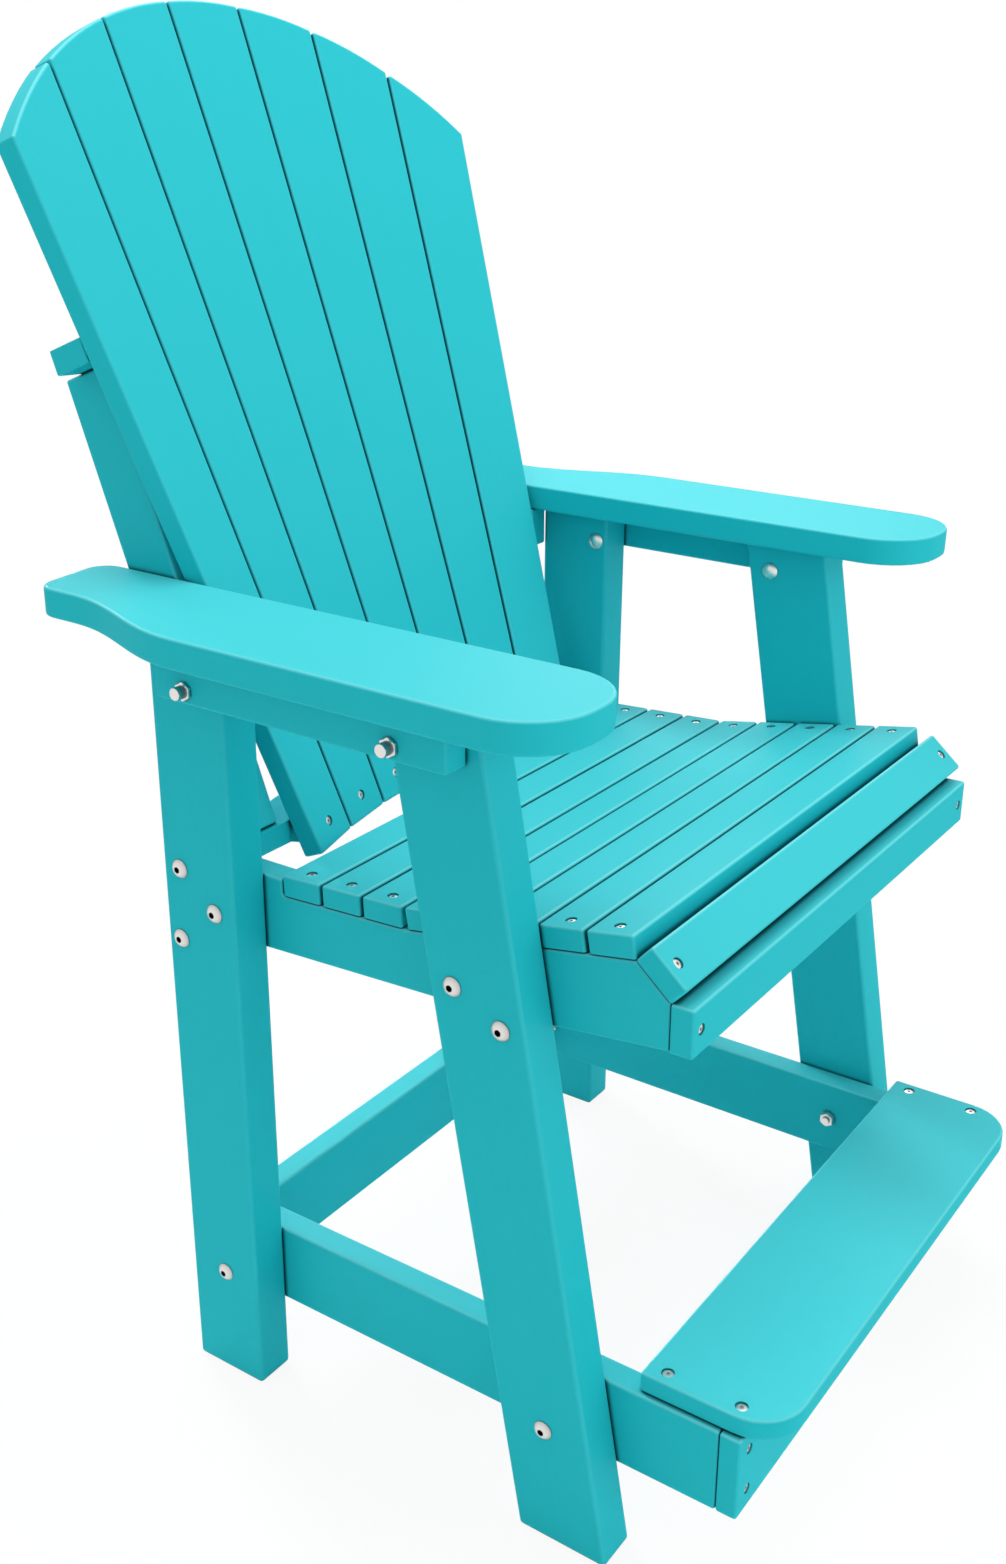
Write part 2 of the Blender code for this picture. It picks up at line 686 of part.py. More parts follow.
def arm_bolts():
    """Places (y, z) of the arm rail's bolts in the rear and front legs."""
    places = []
    for edge, share in ((rear_leg_y, ARM_REAR_SHARE), (front_leg_y, ARM_FRONT_SHARE)):
        y, z = leg_top(edge, share)
        places.append((y, z - ARM_BOLT_DROP))
    return places


def hung(front, rear):
    """Outline of a board of the arm rail's width right under the arm, from front to rear."""
    corners = [(front, under_arm(front)), (rear, under_arm(rear))]
    return corners + [(y, z - ARM_RAIL_WIDTH) for y, z in reversed(corners)]


def build_arms():
    """Arms, the rails that carry them outside the legs and the blocks beside the supports."""
    slope = Matrix.Rotation(ARM_SLOPE, 4, "X")
    place = Matrix.Translation((0, 0, ARM_HEIGHT)) @ slope @ Matrix.Translation((0, 0, -ARM_THICK))
    rail_front = leg_top(front_leg_y, 1)[0] + ARM_RAIL_FRONT_SETBACK
    rail = hung(rail_front, leg_top(rear_leg_y, 1)[0] + ARM_RAIL_REAR_LAP)
    block_front = leg_top(rear_leg_y)[0] - ARM_BLOCK_LAP
    block = hung(block_front, block_front + BOARD_THICK)
    for label, side in SIDES:
        lumber(f"arm_{label}", arm_outline(side), ARM_THICK, place)
        start = min(side * (LEG_OUTER + GAP), side * (LEG_OUTER + GAP + BOARD_THICK))
        lumber(f"arm_rail_{label}", rail, BOARD_THICK, across(start), bores=arm_bolts())
        start = min(side * BOARD_INNER, side * BOARD_OUTER)
        lumber(f"arm_block_{label}", block, BOARD_THICK, across(start))


# Base

def low_bolts():
    """Places (y, z) of the bolts that hold a side stretcher to the rear and front legs."""
    z = STRETCHER_HEIGHT + STRETCHER_WIDTH / 2
    return (rear_leg_y(z, LOW_REAR_SHARE), z), (front_leg_y(z, LOW_FRONT_SHARE), z)


def build_base():
    """Legs, side stretchers, cross stretcher and the footrest on their front ends."""
    stretcher_front = front_leg_y(0, 1) - STRETCHER_REACH
    for label, side in SIDES:
        start = min(side * LEG_INNER, side * LEG_OUTER)
        rear_arm, front_arm = arm_bolts()
        rear_low, front_low = low_bolts()
        *rear_seat, front_upper, front_lower = seat_bolts()
        bores = [*rear_seat, rear_low, rear_arm]
        lumber(f"rear_leg_{label}", leg_outline(rear_leg_y), LEG_THICK, across(start), bores=bores)
        bores = [front_upper, front_lower, front_low, front_arm]
        lumber(f"front_leg_{label}", leg_outline(front_leg_y), LEG_THICK, across(start), bores=bores)
        start = min(side * BOARD_INNER, side * BOARD_OUTER)
        outline = rectangle(stretcher_front, -STRETCHER_REAR, STRETCHER_HEIGHT, STRETCHER_TOP)
        bores = low_bolts()
        lumber(f"side_stretcher_{label}", outline, BOARD_THICK, across(start), bores=bores)
    half = BOARD_INNER - GAP
    place = frame(Vector((0, -STRETCHER_REAR, STRETCHER_HEIGHT)), X_AXIS, Z_AXIS, -Y_AXIS)
    lumber("cross_stretcher", rectangle(-half, half, 0, STRETCHER_WIDTH), BOARD_THICK, place)
    build_footrest(stretcher_front)


def build_footrest(stretcher_front):
    """Footrest board and the apron below its front edge."""
    half = FOOTREST_LENGTH / 2
    front = stretcher_front - FOOTREST_OVERHANG
    rear = front + FOOTREST_DEPTH
    outline = rounded([
        (-half, rear, 0),
        (-half, front, FOOTREST_RADIUS),
        (half, front, FOOTREST_RADIUS),
        (half, rear, 0),
    ])
    middle = (BOARD_INNER + BOARD_OUTER) / 2 - (BOARD_OUTER - half)
    screws = [(side * middle, rear - back)
              for side in (-1, 1) for back in (FOOTREST_REAR_SCREW, FOOTREST_FRONT_SCREW)]
    place = Matrix.Translation((0, 0, STRETCHER_TOP + GAP))
    lumber("footrest_board", outline, SLAT_THICK, place, pockets=screws)
    half = BOARD_OUTER
    high = STRETCHER_WIDTH - GAP
    screws = [(side * (half - APRON_SCREW_INSET), z)
              for side in (-1, 1) for z in (APRON_SCREW_EDGE, high - APRON_SCREW_EDGE)]
    place = frame(Vector((0, stretcher_front - GAP, STRETCHER_HEIGHT)), X_AXIS, Z_AXIS, -Y_AXIS)
    lumber("footrest_apron", rectangle(-half, half, 0, high), SLAT_THICK, place, pockets=screws)


# Bolts

def build_bolts():
    """Through bolts of both sides: seat and stretcher bolts from outside, arm bolts from inside."""
    upper, middle, lower, front_upper, front_lower = seat_bolts()
    rear_low, front_low = low_bolts()
    board_grip = LEG_THICK + GAP + BOARD_THICK
    support_grip = board_grip + GAP + BOARD_THICK
    outer_bolts = {
        "seat_bolt_rear_upper": (upper, support_grip),
        "seat_bolt_rear_middle": (middle, board_grip),
        "seat_bolt_rear_lower": (lower, board_grip),
        "seat_bolt_front_upper": (front_upper, board_grip),
        "seat_bolt_front_lower": (front_lower, board_grip),
        "stretcher_bolt_rear": (rear_low, board_grip),
        "stretcher_bolt_front": (front_low, board_grip),
    }
    arm_rear, arm_front = arm_bolts()
    for label, side in SIDES:
        for name, (place, grip) in outer_bolts.items():
            bolt(f"{name}_{label}", Vector((side * LEG_OUTER, *place)), side, grip)
        for name, place in (("arm_bolt_rear", arm_rear), ("arm_bolt_front", arm_front)):
            seat = Vector((side * LEG_INNER, *place))
            bolt(f"{name}_{label}", seat, -side, board_grip, ARM_BOLT_TIP, socketed=False)


def centre_footprint():
    """Move the chair so that the middle of its footprint is at the origin."""
    bpy.context.view_layer.update()
    meshes = [obj for obj in chair.children if obj.type == "MESH"]
    reach = [(obj.matrix_world @ vert.co).y for obj in meshes for vert in obj.data.vertices]
    chair.location.y = -(min(reach) + max(reach)) / 2


for old in list(bpy.data.objects):
    bpy.data.objects.remove(old, do_unlink=True)
chair = bpy.data.objects.new("chair", None)
bpy.context.collection.objects.link(chair)
build_base()
build_seat()
build_back()
build_arms()
build_bolts()
centre_footprint()
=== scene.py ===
"""Dressed counter chair: rounded poly lumber boards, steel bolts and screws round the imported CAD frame."""

import math

import bmesh
import bpy
import numpy as np
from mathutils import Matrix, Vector


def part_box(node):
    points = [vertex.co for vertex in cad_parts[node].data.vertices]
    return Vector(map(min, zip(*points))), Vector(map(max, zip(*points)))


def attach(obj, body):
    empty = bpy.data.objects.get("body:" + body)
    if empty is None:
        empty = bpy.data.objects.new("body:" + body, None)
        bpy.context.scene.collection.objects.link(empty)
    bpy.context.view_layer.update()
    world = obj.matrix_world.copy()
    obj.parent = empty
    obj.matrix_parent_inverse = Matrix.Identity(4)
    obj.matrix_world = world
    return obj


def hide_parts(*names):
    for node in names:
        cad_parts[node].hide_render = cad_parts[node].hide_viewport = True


bl_info = {
    "name": "Counter chair",
    "version": (1, 0, 0),
    "blender": (4, 5, 0),
    "location": "3D View > Sidebar > Chair",
    "description": "Builds a slatted counter chair in poly lumber round its CAD frame",
    "category": "Object",
}

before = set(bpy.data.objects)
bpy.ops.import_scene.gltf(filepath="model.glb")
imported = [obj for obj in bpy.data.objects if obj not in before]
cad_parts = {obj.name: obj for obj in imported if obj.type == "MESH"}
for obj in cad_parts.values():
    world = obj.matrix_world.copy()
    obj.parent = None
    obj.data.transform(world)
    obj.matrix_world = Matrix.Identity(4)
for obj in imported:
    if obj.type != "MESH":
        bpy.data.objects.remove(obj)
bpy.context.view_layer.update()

BODY = "root"
SIDES = ("right", "left")

# Mesh attributes that the materials read
GRAIN = "grain"
ROUTED = "routed"
UPWARD = "faded"
DARKENED = "grimy"

# Groups of boards that share an edge finish
LEGS = [f"{end}_leg_{side}" for end in ("rear", "front") for side in SIDES]
STRETCHERS = [f"side_stretcher_{side}" for side in SIDES] + ["cross_stretcher"]
STRINGERS = [f"seat_stringer_{side}" for side in SIDES]
SEAT_SLATS = [f"seat_slat_{number}" for number in range(1, 8)]
SEAT_FRONT = ["seat_slat_8", "seat_nose_slat", "seat_apron"]
BACK_SLATS = [f"back_slat_{number}" for number in range(1, 8)]
SUPPORTS = [f"back_support_{side}" for side in SIDES]
HOLLOWED = ["back_upper_cleat", "back_lower_rail"]
ARMS = [f"arm_{side}" for side in SIDES]
ARM_RAILS_AND_BLOCKS = [f"arm_{kind}_{side}" for kind in ("rail", "block") for side in SIDES]
FOOTREST_BOARD = "footrest_board"
FOOTREST = [FOOTREST_BOARD, "footrest_apron"]

# Through bolts, each with its nut
BOLTS = sorted(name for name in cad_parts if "_bolt_" in name)

# Fineness of the surfaces
EDGE_STEPS = 5
CORNER_STEPS = 6
HOLE_SIDES = 32
TURNED_SIDES = 48
DOME_STEPS = 10

# Turns past which a corner of an outline is rounded and an edge between faces stays sharp
CORNER_TURN = math.radians(20)
SHARP_TURN = math.radians(35)

# Cosine from which normals count as one, distances in metres that count as none, and decimals kept
SAME_NORMAL = 0.9995
SAME_PLACE = 1e-4
SAME_CORNER = 1e-5
SAME_POINT = 1e-7
NORMAL_DECIMALS = 3
PLACE_DECIMALS = 6

# Share of a side that a rounded corner may take up, and of a hole's lip at the middle of its rounding
CORNER_SHARE = 0.45
LIP_SHARE = 0.3

# Power with which the upward share, which sets painted sheen and edge highlights, falls as a face turns away
UPWARD_FALL = 1.5

# Step in metres from one board's place in the streaks to the next board's
GRAIN_STEP = np.array([0.0731, 0.0173, 0.0097])

# Sizes of the patterns as drawn, in metres
STREAK_LENGTH = 0.160
STREAK_WIDTH = 0.0025
CLOUD_SIZE = 0.070
PEEL_SIZE = 0.0015
HAZE_SIZE = 0.0006
SEAM_WIDTH = 0.006

# Darkening on the steel: painted shade at a head's rim and in a screw's drive, and darker along a bolt's end
# up to its nut
RIM_SHADE = 0.4
END_DARKENING = (0.35, 0.8)
DRIVE_SHADE = 0.35

# Shares of the nut's thickness and width, of the head's rise and radius, and of the socket's corners
NUT_CHAMFER = 0.12
NUT_FACE = 0.48
HEAD_RIM = 0.1
DOME_TOP = 0.03
SOCKET_MOUTH = 1.1

# Stations of a screw: height in metres, radius and width across flats in head radii, flats, and painted
# shade
SCREW_PROFILE = (
    (0.0, 0.98, 0, 0, 0),
    (0.0013, 1, 0, 0, 0),
    (0.0018, 0.95, 0, 0, 0),
    (0.0022, 0.72, 0, 0, 0),
    (0.0024, 0.42, 0, 0, 0),
    (0.0023, 0.40, 0.52, 4, DRIVE_SHADE),
    (0.0010, 0.40, 0.48, 4, DRIVE_SHADE),
    (0.0010, 0.1, 0, 0, DRIVE_SHADE),
)

# Floor in metres: half width, depth under the feet, where its shadow fades and ends; glow near the chair
FLOOR_REACH = 9.0
FLOOR_DEPTH = 0.0005
SHADOW_FULL = 0.5
SHADOW_GONE = 1.6
NEAR_GLOW = 0.9

# Strength of the light from the room
ROOM_LIGHT = 0.70

# Softboxes: name, place, target, width in metres, watts, spread in degrees, whether it lights matt faces
SOFTBOXES = (
    ("ceiling_softbox", (0.2, 0.2, 3.4), (0.0, 0.0, 0.6), 2.6, 53.0, 180, True),
    ("front_softbox", (0.2, -3.2, 1.3), (0.0, 0.0, 0.7), 2.0, 20.5, 180, True),
    ("rear_softbox", (0.9, 2.3, 1.3), (-0.1, 0.0, 0.2), 0.8, 2.9, 30, True),
    ("sheen_softbox", (2.3, 1.0, 2.1), (0.0, 0.0, 0.7), 1.2, 14.0, 180, False),
)

# Camera: film height and focal length in millimetres, place in metres, dip and heading in degrees
FILM_HEIGHT = 36.0
FOCAL_LENGTH = 37.954
CAMERA_PLACE = (-1.34416, -0.87793, 1.23656)
CAMERA_DIP = 21.661
CAMERA_HEADING = -55.28


def linear(code):
    """Linear RGBA of an sRGB hex colour."""
    share = np.array([int(code[k:k + 2], 16) for k in (1, 3, 5)]) / 255
    low, high = share / 12.92, ((share + 0.055) / 1.055) ** 2.4
    return (*np.where(share <= 0.04045, low, high).tolist(), 1.0)


FLOOR_WHITE = linear("#F6F6F6")
PURE_WHITE = linear("#FFFFFF")


def add_node(tree, kind, inputs=None, **settings):
    """Add a node, set its settings, and fill its inputs with values or links from other nodes."""
    node = tree.nodes.new(kind)
    for name, value in settings.items():
        setattr(node, name, value)
    for name, value in (inputs or {}).items():
        if isinstance(value, bpy.types.NodeSocket):
            tree.links.new(value, node.inputs[name])
        else:
            node.inputs[name].default_value = value
    return node


def new_material(name):
    """Empty node material and its tree."""
    material = bpy.data.materials.new(name)
    material.use_nodes = True
    material.node_tree.nodes.clear()
    return material, material.node_tree


def poly_lumber(name, colours, own_grain):
    """Extruded HDPE lumber, coloured through and satin, with routed edges.

    It gives the eye one clean colour with a thin waxy sheen, faint streaks drawn out along the
    board by the die, a slight cloudiness and a fine orange peel that breaks up reflections. Faces
    that look up get a paler colour, a painted sheen, and their routed edges get a paler colour, a
    painted highlight, and a shinier coat. Seams and contacts between boards get painted shade.
    """
    deep, pale, top_sheen, highlight_tone, seam_shade = colours
    material, tree = new_material(name)
    if own_grain:
        place = add_node(tree, "ShaderNodeAttribute", attribute_name=GRAIN).outputs["Vector"]
    else:
        place = add_node(tree, "ShaderNodeTexCoord").outputs["Object"]
    # Die streaks are under 0.5 mm wide on the real board: drawn 2.5 mm wide so that they show.
    drawn = add_node(tree, "ShaderNodeMapping", {
        "Vector": place, "Scale": (1 / STREAK_LENGTH, 1 / STREAK_WIDTH, 1 / STREAK_WIDTH)})
    streaks = add_node(tree, "ShaderNodeTexNoise", {
        "Vector": drawn.outputs["Vector"], "Scale": 1.0, "Detail": 3.0, "Roughness": 0.55})
    clouds = add_node(tree, "ShaderNodeTexNoise", {
        "Vector": place, "Scale": 1 / CLOUD_SIZE, "Detail": 2.0})
    # The peel's dimples are about 0.6 mm across: drawn 1.5 mm across so that they show.
    peel = add_node(tree, "ShaderNodeTexNoise", {
        "Vector": place, "Scale": 1 / PEEL_SIZE, "Detail": 1.0})
    tint = add_node(tree, "ShaderNodeMix", {
        "Factor": streaks.outputs["Fac"], "A": deep, "B": pale}, data_type="RGBA")
    faded = add_node(tree, "ShaderNodeAttribute", attribute_name=UPWARD).outputs["Fac"]
    # Painted sheen: faces that look up are mixed towards a paler colour
    sheened_tops = add_node(tree, "ShaderNodeMix", {
        "Factor": faded, "A": tint.outputs["Result"], "B": top_sheen}, data_type="RGBA")
    # Painted highlight: routed edges, the more the more they face up, go towards a pale colour; their coat
    # is raised there too
    routed = add_node(tree, "ShaderNodeAttribute", attribute_name=ROUTED).outputs["Fac"]
    lit_weight = add_node(tree, "ShaderNodeMapRange", {"Value": faded, "To Min": 0.05, "To Max": 0.6})
    edge_highlight = add_node(tree, "ShaderNodeMath", {
        0: routed, 1: lit_weight.outputs["Result"]}, operation="MULTIPLY")
    highlighted = add_node(tree, "ShaderNodeMix", {
        "Factor": edge_highlight.outputs["Value"], "A": sheened_tops.outputs["Result"], "B": highlight_tone},
        data_type="RGBA")
    # Painted shade: seams and contacts under 6 mm wide are darkened, the more so the narrower and deeper
    # they are.
    open_air = add_node(tree, "ShaderNodeAmbientOcclusion", {"Distance": SEAM_WIDTH}, samples=8)
    unshaded = add_node(tree, "ShaderNodeMapRange", {
        "Value": open_air.outputs["AO"], "From Min": 0.35, "From Max": 0.8})
    paint = add_node(tree, "ShaderNodeMix", {
        "Factor": unshaded.outputs["Result"], "A": seam_shade, "B": highlighted.outputs["Result"]}, data_type="RGBA")
    gloss = add_node(tree, "ShaderNodeMapRange", {
        "Value": clouds.outputs["Fac"], "From Min": 0.3, "From Max": 0.7,
        "To Min": 0.42, "To Max": 0.50})
    sheen = add_node(tree, "ShaderNodeMapRange", {
        "Value": edge_highlight.outputs["Value"], "To Min": 0.22, "To Max": 0.8})
    relief = add_node(tree, "ShaderNodeMath", {
        0: streaks.outputs["Fac"], 1: peel.outputs["Fac"]}, operation="ADD")
    bump = add_node(tree, "ShaderNodeBump", {
        "Height": relief.outputs["Value"], "Strength": 0.08, "Distance": 0.0002})
    shader = add_node(tree, "ShaderNodeBsdfPrincipled", {
        "Base Color": paint.outputs["Result"], "Roughness": gloss.outputs["Result"],
        "Normal": bump.outputs["Normal"], "Specular IOR Level": 0.0,
        "Coat Weight": sheen.outputs["Result"], "Coat Roughness": 0.42, "Coat IOR": 1.5,
        "Coat Normal": bump.outputs["Normal"]})
    add_node(tree, "ShaderNodeOutputMaterial", {"Surface": shader.outputs["BSDF"]})
    return material


def stainless_steel(name, colours):
    """Cold-headed stainless steel, tumbled clean.

    It gives the eye a pale warm metal that mirrors the room softly, with a fine tumbled haze.
    Painted shade darkens it down in the sockets and drives and at the heads' rims, and it is
    darker along the bolts' ends.
    """
    steel, darkening = colours
    material, tree = new_material(name)
    place = add_node(tree, "ShaderNodeTexCoord").outputs["Object"]
    # The tumbled texture is about 0.1 mm: drawn 0.6 mm so that it shows.
    haze = add_node(tree, "ShaderNodeTexNoise", {
        "Vector": place, "Scale": 1 / HAZE_SIZE, "Detail": 2.0})
    gloss = add_node(tree, "ShaderNodeMapRange", {
        "Value": haze.outputs["Fac"], "From Min": 0.3, "From Max": 0.7,
        "To Min": 0.30, "To Max": 0.44})
    bump = add_node(tree, "ShaderNodeBump", {
        "Height": haze.outputs["Fac"], "Strength": 0.1, "Distance": 0.0001})
    grimy = add_node(tree, "ShaderNodeAttribute", attribute_name=DARKENED).outputs["Fac"]
    paint = add_node(tree, "ShaderNodeMix", {
        "Factor": grimy, "A": steel, "B": darkening}, data_type="RGBA")
    shader = add_node(tree, "ShaderNodeBsdfPrincipled", {
        "Base Color": paint.outputs["Result"], "Metallic": 1.0, "Roughness": gloss.outputs["Result"],
        "Normal": bump.outputs["Normal"]})
    add_node(tree, "ShaderNodeOutputMaterial", {"Surface": shader.outputs["BSDF"]})
    return material


def material_named(name, make, *values):
    """The material of that name, made the first time it is asked for."""
    return bpy.data.materials.get(name) or make(name, *values)


def lumber_material(context, own_grain=True):
    """Poly lumber whose streaks run along the board's own grain, or along X where it has none."""
    finish = context.scene.chair_finish
    name = "hdpe_poly_lumber" if own_grain else "hdpe_poly_lumber_along_x"
    tones = (finish.lumber_deep, finish.lumber_pale, finish.lumber_top_sheen, finish.lumber_edge_highlight,
             finish.lumber_seam_shade)
    return material_named(name, poly_lumber, [tuple(tone) for tone in tones], own_grain)


def steel_material(context):
    """Steel of the bolts and screws."""
    finish = context.scene.chair_finish
    colours = tuple(finish.steel), tuple(finish.steel_dark)
    return material_named("tumbled_stainless_steel", stainless_steel, colours)


def merged_triangles(node):
    """Points of a CAD node, merged where its triangles meet, and the triangles' point numbers."""
    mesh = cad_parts[node].data
    mesh.calc_loop_triangles()
    places = np.empty(3 * len(mesh.vertices))
    mesh.vertices.foreach_get("co", places)
    corners = np.empty(3 * len(mesh.loop_triangles), np.int32)
    mesh.loop_triangles.foreach_get("vertices", corners)
    rounded = np.round(places.reshape(-1, 3), PLACE_DECIMALS)
    points, merged = np.unique(rounded, axis=0, return_inverse=True)
    return points, merged.reshape(-1)[corners].reshape(-1, 3)


def bounding_loops(triples):
    """Loops of points that bound a set of triangles, each in running order.

    A directed side bounds the set where its reverse is missing, so each bounding point knows its
    next. Doubling those steps over and over gives every point the lowest number on its loop and
    the way round to it, and sorting by both puts the points in order.
    """
    start = triples.reshape(-1).astype(np.int64)
    end = np.roll(triples, -1, axis=1).reshape(-1).astype(np.int64)
    count = int(triples.max()) + 1
    bounding = ~np.isin(start * count + end, end * count + start)
    own = np.arange(count)
    follow = own.copy()
    follow[start[bounding]] = end[bounding]
    lowest, step = own.copy(), follow
    for _ in range(count.bit_length()):
        lowest = np.minimum(lowest, lowest[step])
        step = step[step]
    step = np.where(lowest == own, own, follow)
    way = np.where(lowest == own, 0, 1)
    for _ in range(count.bit_length()):
        way = way + way[step]
        step = step[step]
    members = start[bounding]
    order = members[np.lexsort((-way[members], lowest[members]))]
    return np.split(order, np.flatnonzero(np.diff(lowest[order])) + 1)


class Board:
    """Sawn board read from a CAD node: axes u along, v across and w through it, outline and holes."""

    def __init__(self, node):
        points, triples = merged_triangles(node)
        corner = points[triples]
        normal = np.cross(corner[:, 1] - corner[:, 0], corner[:, 2] - corner[:, 0])
        area = np.linalg.norm(normal, axis=1)
        normal = normal / area[:, None]
        # The normal with the most area points through the board.
        _, kind = np.unique(np.round(normal, NORMAL_DECIMALS), axis=0, return_inverse=True)
        widest = np.bincount(kind.reshape(-1), weights=area).argmax()
        through = normal[kind.reshape(-1) == widest].mean(axis=0)
        through = through / np.linalg.norm(through)
        level = corner.mean(axis=1) @ through
        on_face = [(normal @ through > SAME_NORMAL) & (level > level.max() - SAME_PLACE),
                   (normal @ through < -SAME_NORMAL) & (level < level.min() + SAME_PLACE)]
        # The face with more loops is the upper one, because it has the pockets.
        faces = [[points[loop] for loop in bounding_loops(triples[chosen])] for chosen in on_face]
        if len(faces[1]) > len(faces[0]):
            faces, through = faces[::-1], -through
        # The longest loop is the outline, and its longest side runs along the board.
        sides = [np.roll(loop, -1, axis=0) - loop for loop in faces[0]]
        lengths = [np.linalg.norm(side, axis=1) for side in sides]
        outer = int(np.argmax([length.sum() for length in lengths]))
        along = sides[outer][lengths[outer].argmax()]
        along = along / np.linalg.norm(along)
        self.axes = np.array([along, np.cross(through, along), through])
        local = [[loop @ self.axes.T for loop in face] for face in faces]
        self.low = local[1][0][0, 2]
        self.high = local[0][0][0, 2]
        self.outline = local[0][outer][:, :2]
        # A hole that opens below too is a bore, and any other is a pocket.
        holes = [loop[:, :2] for number, loop in enumerate(local[0]) if number != outer]
        below = np.array([loop[:, :2].mean(axis=0) for loop in local[1]])
        self.bores, self.pockets = [], []
        for hole in holes:
            centre = hole.mean(axis=0)
            radius = np.linalg.norm(hole - centre, axis=1).max()
            runs_through = np.linalg.norm(below - centre, axis=1).min() < SAME_PLACE
            (self.bores if runs_through else self.pockets).append((centre, radius))


def eased(outline, radius):
    """Outline with its corners rounded, and how far each of its points is into a rounded corner.

    Each corner that turns sharply becomes an arc tangent to both sides; its points are the
    centre plus the radius along directions swept evenly from one side's normal to the other's.
    The second array is a half sine along each arc, 0 at its ends and 1 at its middle.
    """
    before = outline - np.roll(outline, 1, axis=0)
    after = np.roll(outline, -1, axis=0) - outline
    reach = np.minimum(np.linalg.norm(before, axis=1), np.linalg.norm(after, axis=1))
    heading = np.arctan2(before[:, 1], before[:, 0])
    turn = np.arctan2(after[:, 1], after[:, 0]) - heading
    turn = (turn + math.pi) % (2 * math.pi) - math.pi
    round_here = np.abs(turn) > CORNER_TURN
    tangent = np.minimum(radius * np.abs(np.tan(turn / 2)), CORNER_SHARE * reach)
    tangent = np.where(round_here, tangent, 0)
    arc = np.where(round_here, tangent / np.where(round_here, np.tan(turn / 2), 1), 0)
    unit = before / np.linalg.norm(before, axis=1)[:, None]
    inward = np.stack([-unit[:, 1], unit[:, 0]], axis=1)
    centre = outline - unit * tangent[:, None] + inward * arc[:, None]
    share = np.linspace(0, 1, CORNER_STEPS)
    swept = heading[:, None] - math.pi / 2 + turn[:, None] * share
    ring = np.stack([np.cos(swept), np.sin(swept)], axis=2)
    points = (centre[:, None] + arc[:, None, None] * ring).reshape(-1, 2)
    bend = (round_here[:, None] * np.sin(math.pi * share)).reshape(-1)
    kept = np.linalg.norm(points - np.roll(points, 1, axis=0), axis=1) > SAME_POINT
    return points[kept], bend[kept]


def inward_miters(outline):
    """Step at each point that moves both its sides inwards by one unit.

    It is the sum of the two sides' inward normals, divided by one plus their dot product.
    """
    side = np.roll(outline, -1, axis=0) - outline
    side = side / np.linalg.norm(side, axis=1)[:, None]
    after = np.stack([-side[:, 1], side[:, 0]], axis=1)
    before = np.roll(after, 1, axis=0)
    return (before + after) / (1 + (before * after).sum(axis=1))[:, None]


def raised(rings, heights):
    """Points of flat rings in one list, each ring lifted to its own height."""
    lift = np.broadcast_to(heights[:, None, None], rings.shape[:2] + (1,))
    return np.dstack([rings, lift]).reshape(-1, 3)


def grid_faces(start, rings, points):
    """Quads between successive closed rings of points, numbered row by row from start."""
    row, column = np.meshgrid(np.arange(rings - 1), np.arange(points), indexing="ij")
    ahead = (column + 1) % points
    quads = np.stack([row * points + column, row * points + ahead,
                      (row + 1) * points + ahead, (row + 1) * points + column], axis=2)
    return start + quads.reshape(-1, 4)


def flat_faces(loops, starts):
    """Triangles that fill a flat loop round its holes, as point numbers."""
    numbers = np.concatenate([start + np.arange(len(loop)) for loop, start in zip(loops, starts)])
    places = np.pad(np.concatenate(loops), ((0, 0), (0, 1)))
    firsts = np.cumsum([0] + [len(loop) for loop in loops])
    sides = [first + np.stack([np.arange(len(loop)), np.roll(np.arange(len(loop)), -1)], axis=1)
             for loop, first in zip(loops, firsts)]
    mesh = bpy.data.meshes.new("fill")
    mesh.from_pydata(places.tolist(), np.concatenate(sides).tolist(), [])
    fill = bmesh.new()
    fill.from_mesh(mesh)
    bmesh.ops.triangle_fill(fill, edges=fill.edges[:], use_beauty=True)
    fill.to_mesh(mesh)
    fill.free()
    corners = np.empty(3 * len(mesh.polygons), np.int32)
    mesh.polygons.foreach_get("vertices", corners)
    bpy.data.meshes.remove(mesh)
    triples = corners.reshape(-1, 3)
    first = places[triples[:, 1]] - places[triples[:, 0]]
    second = places[triples[:, 2]] - places[triples[:, 0]]
    clockwise = np.cross(first, second)[:, 2] < 0
    triples[clockwise] = triples[clockwise, ::-1]
    return numbers[triples]


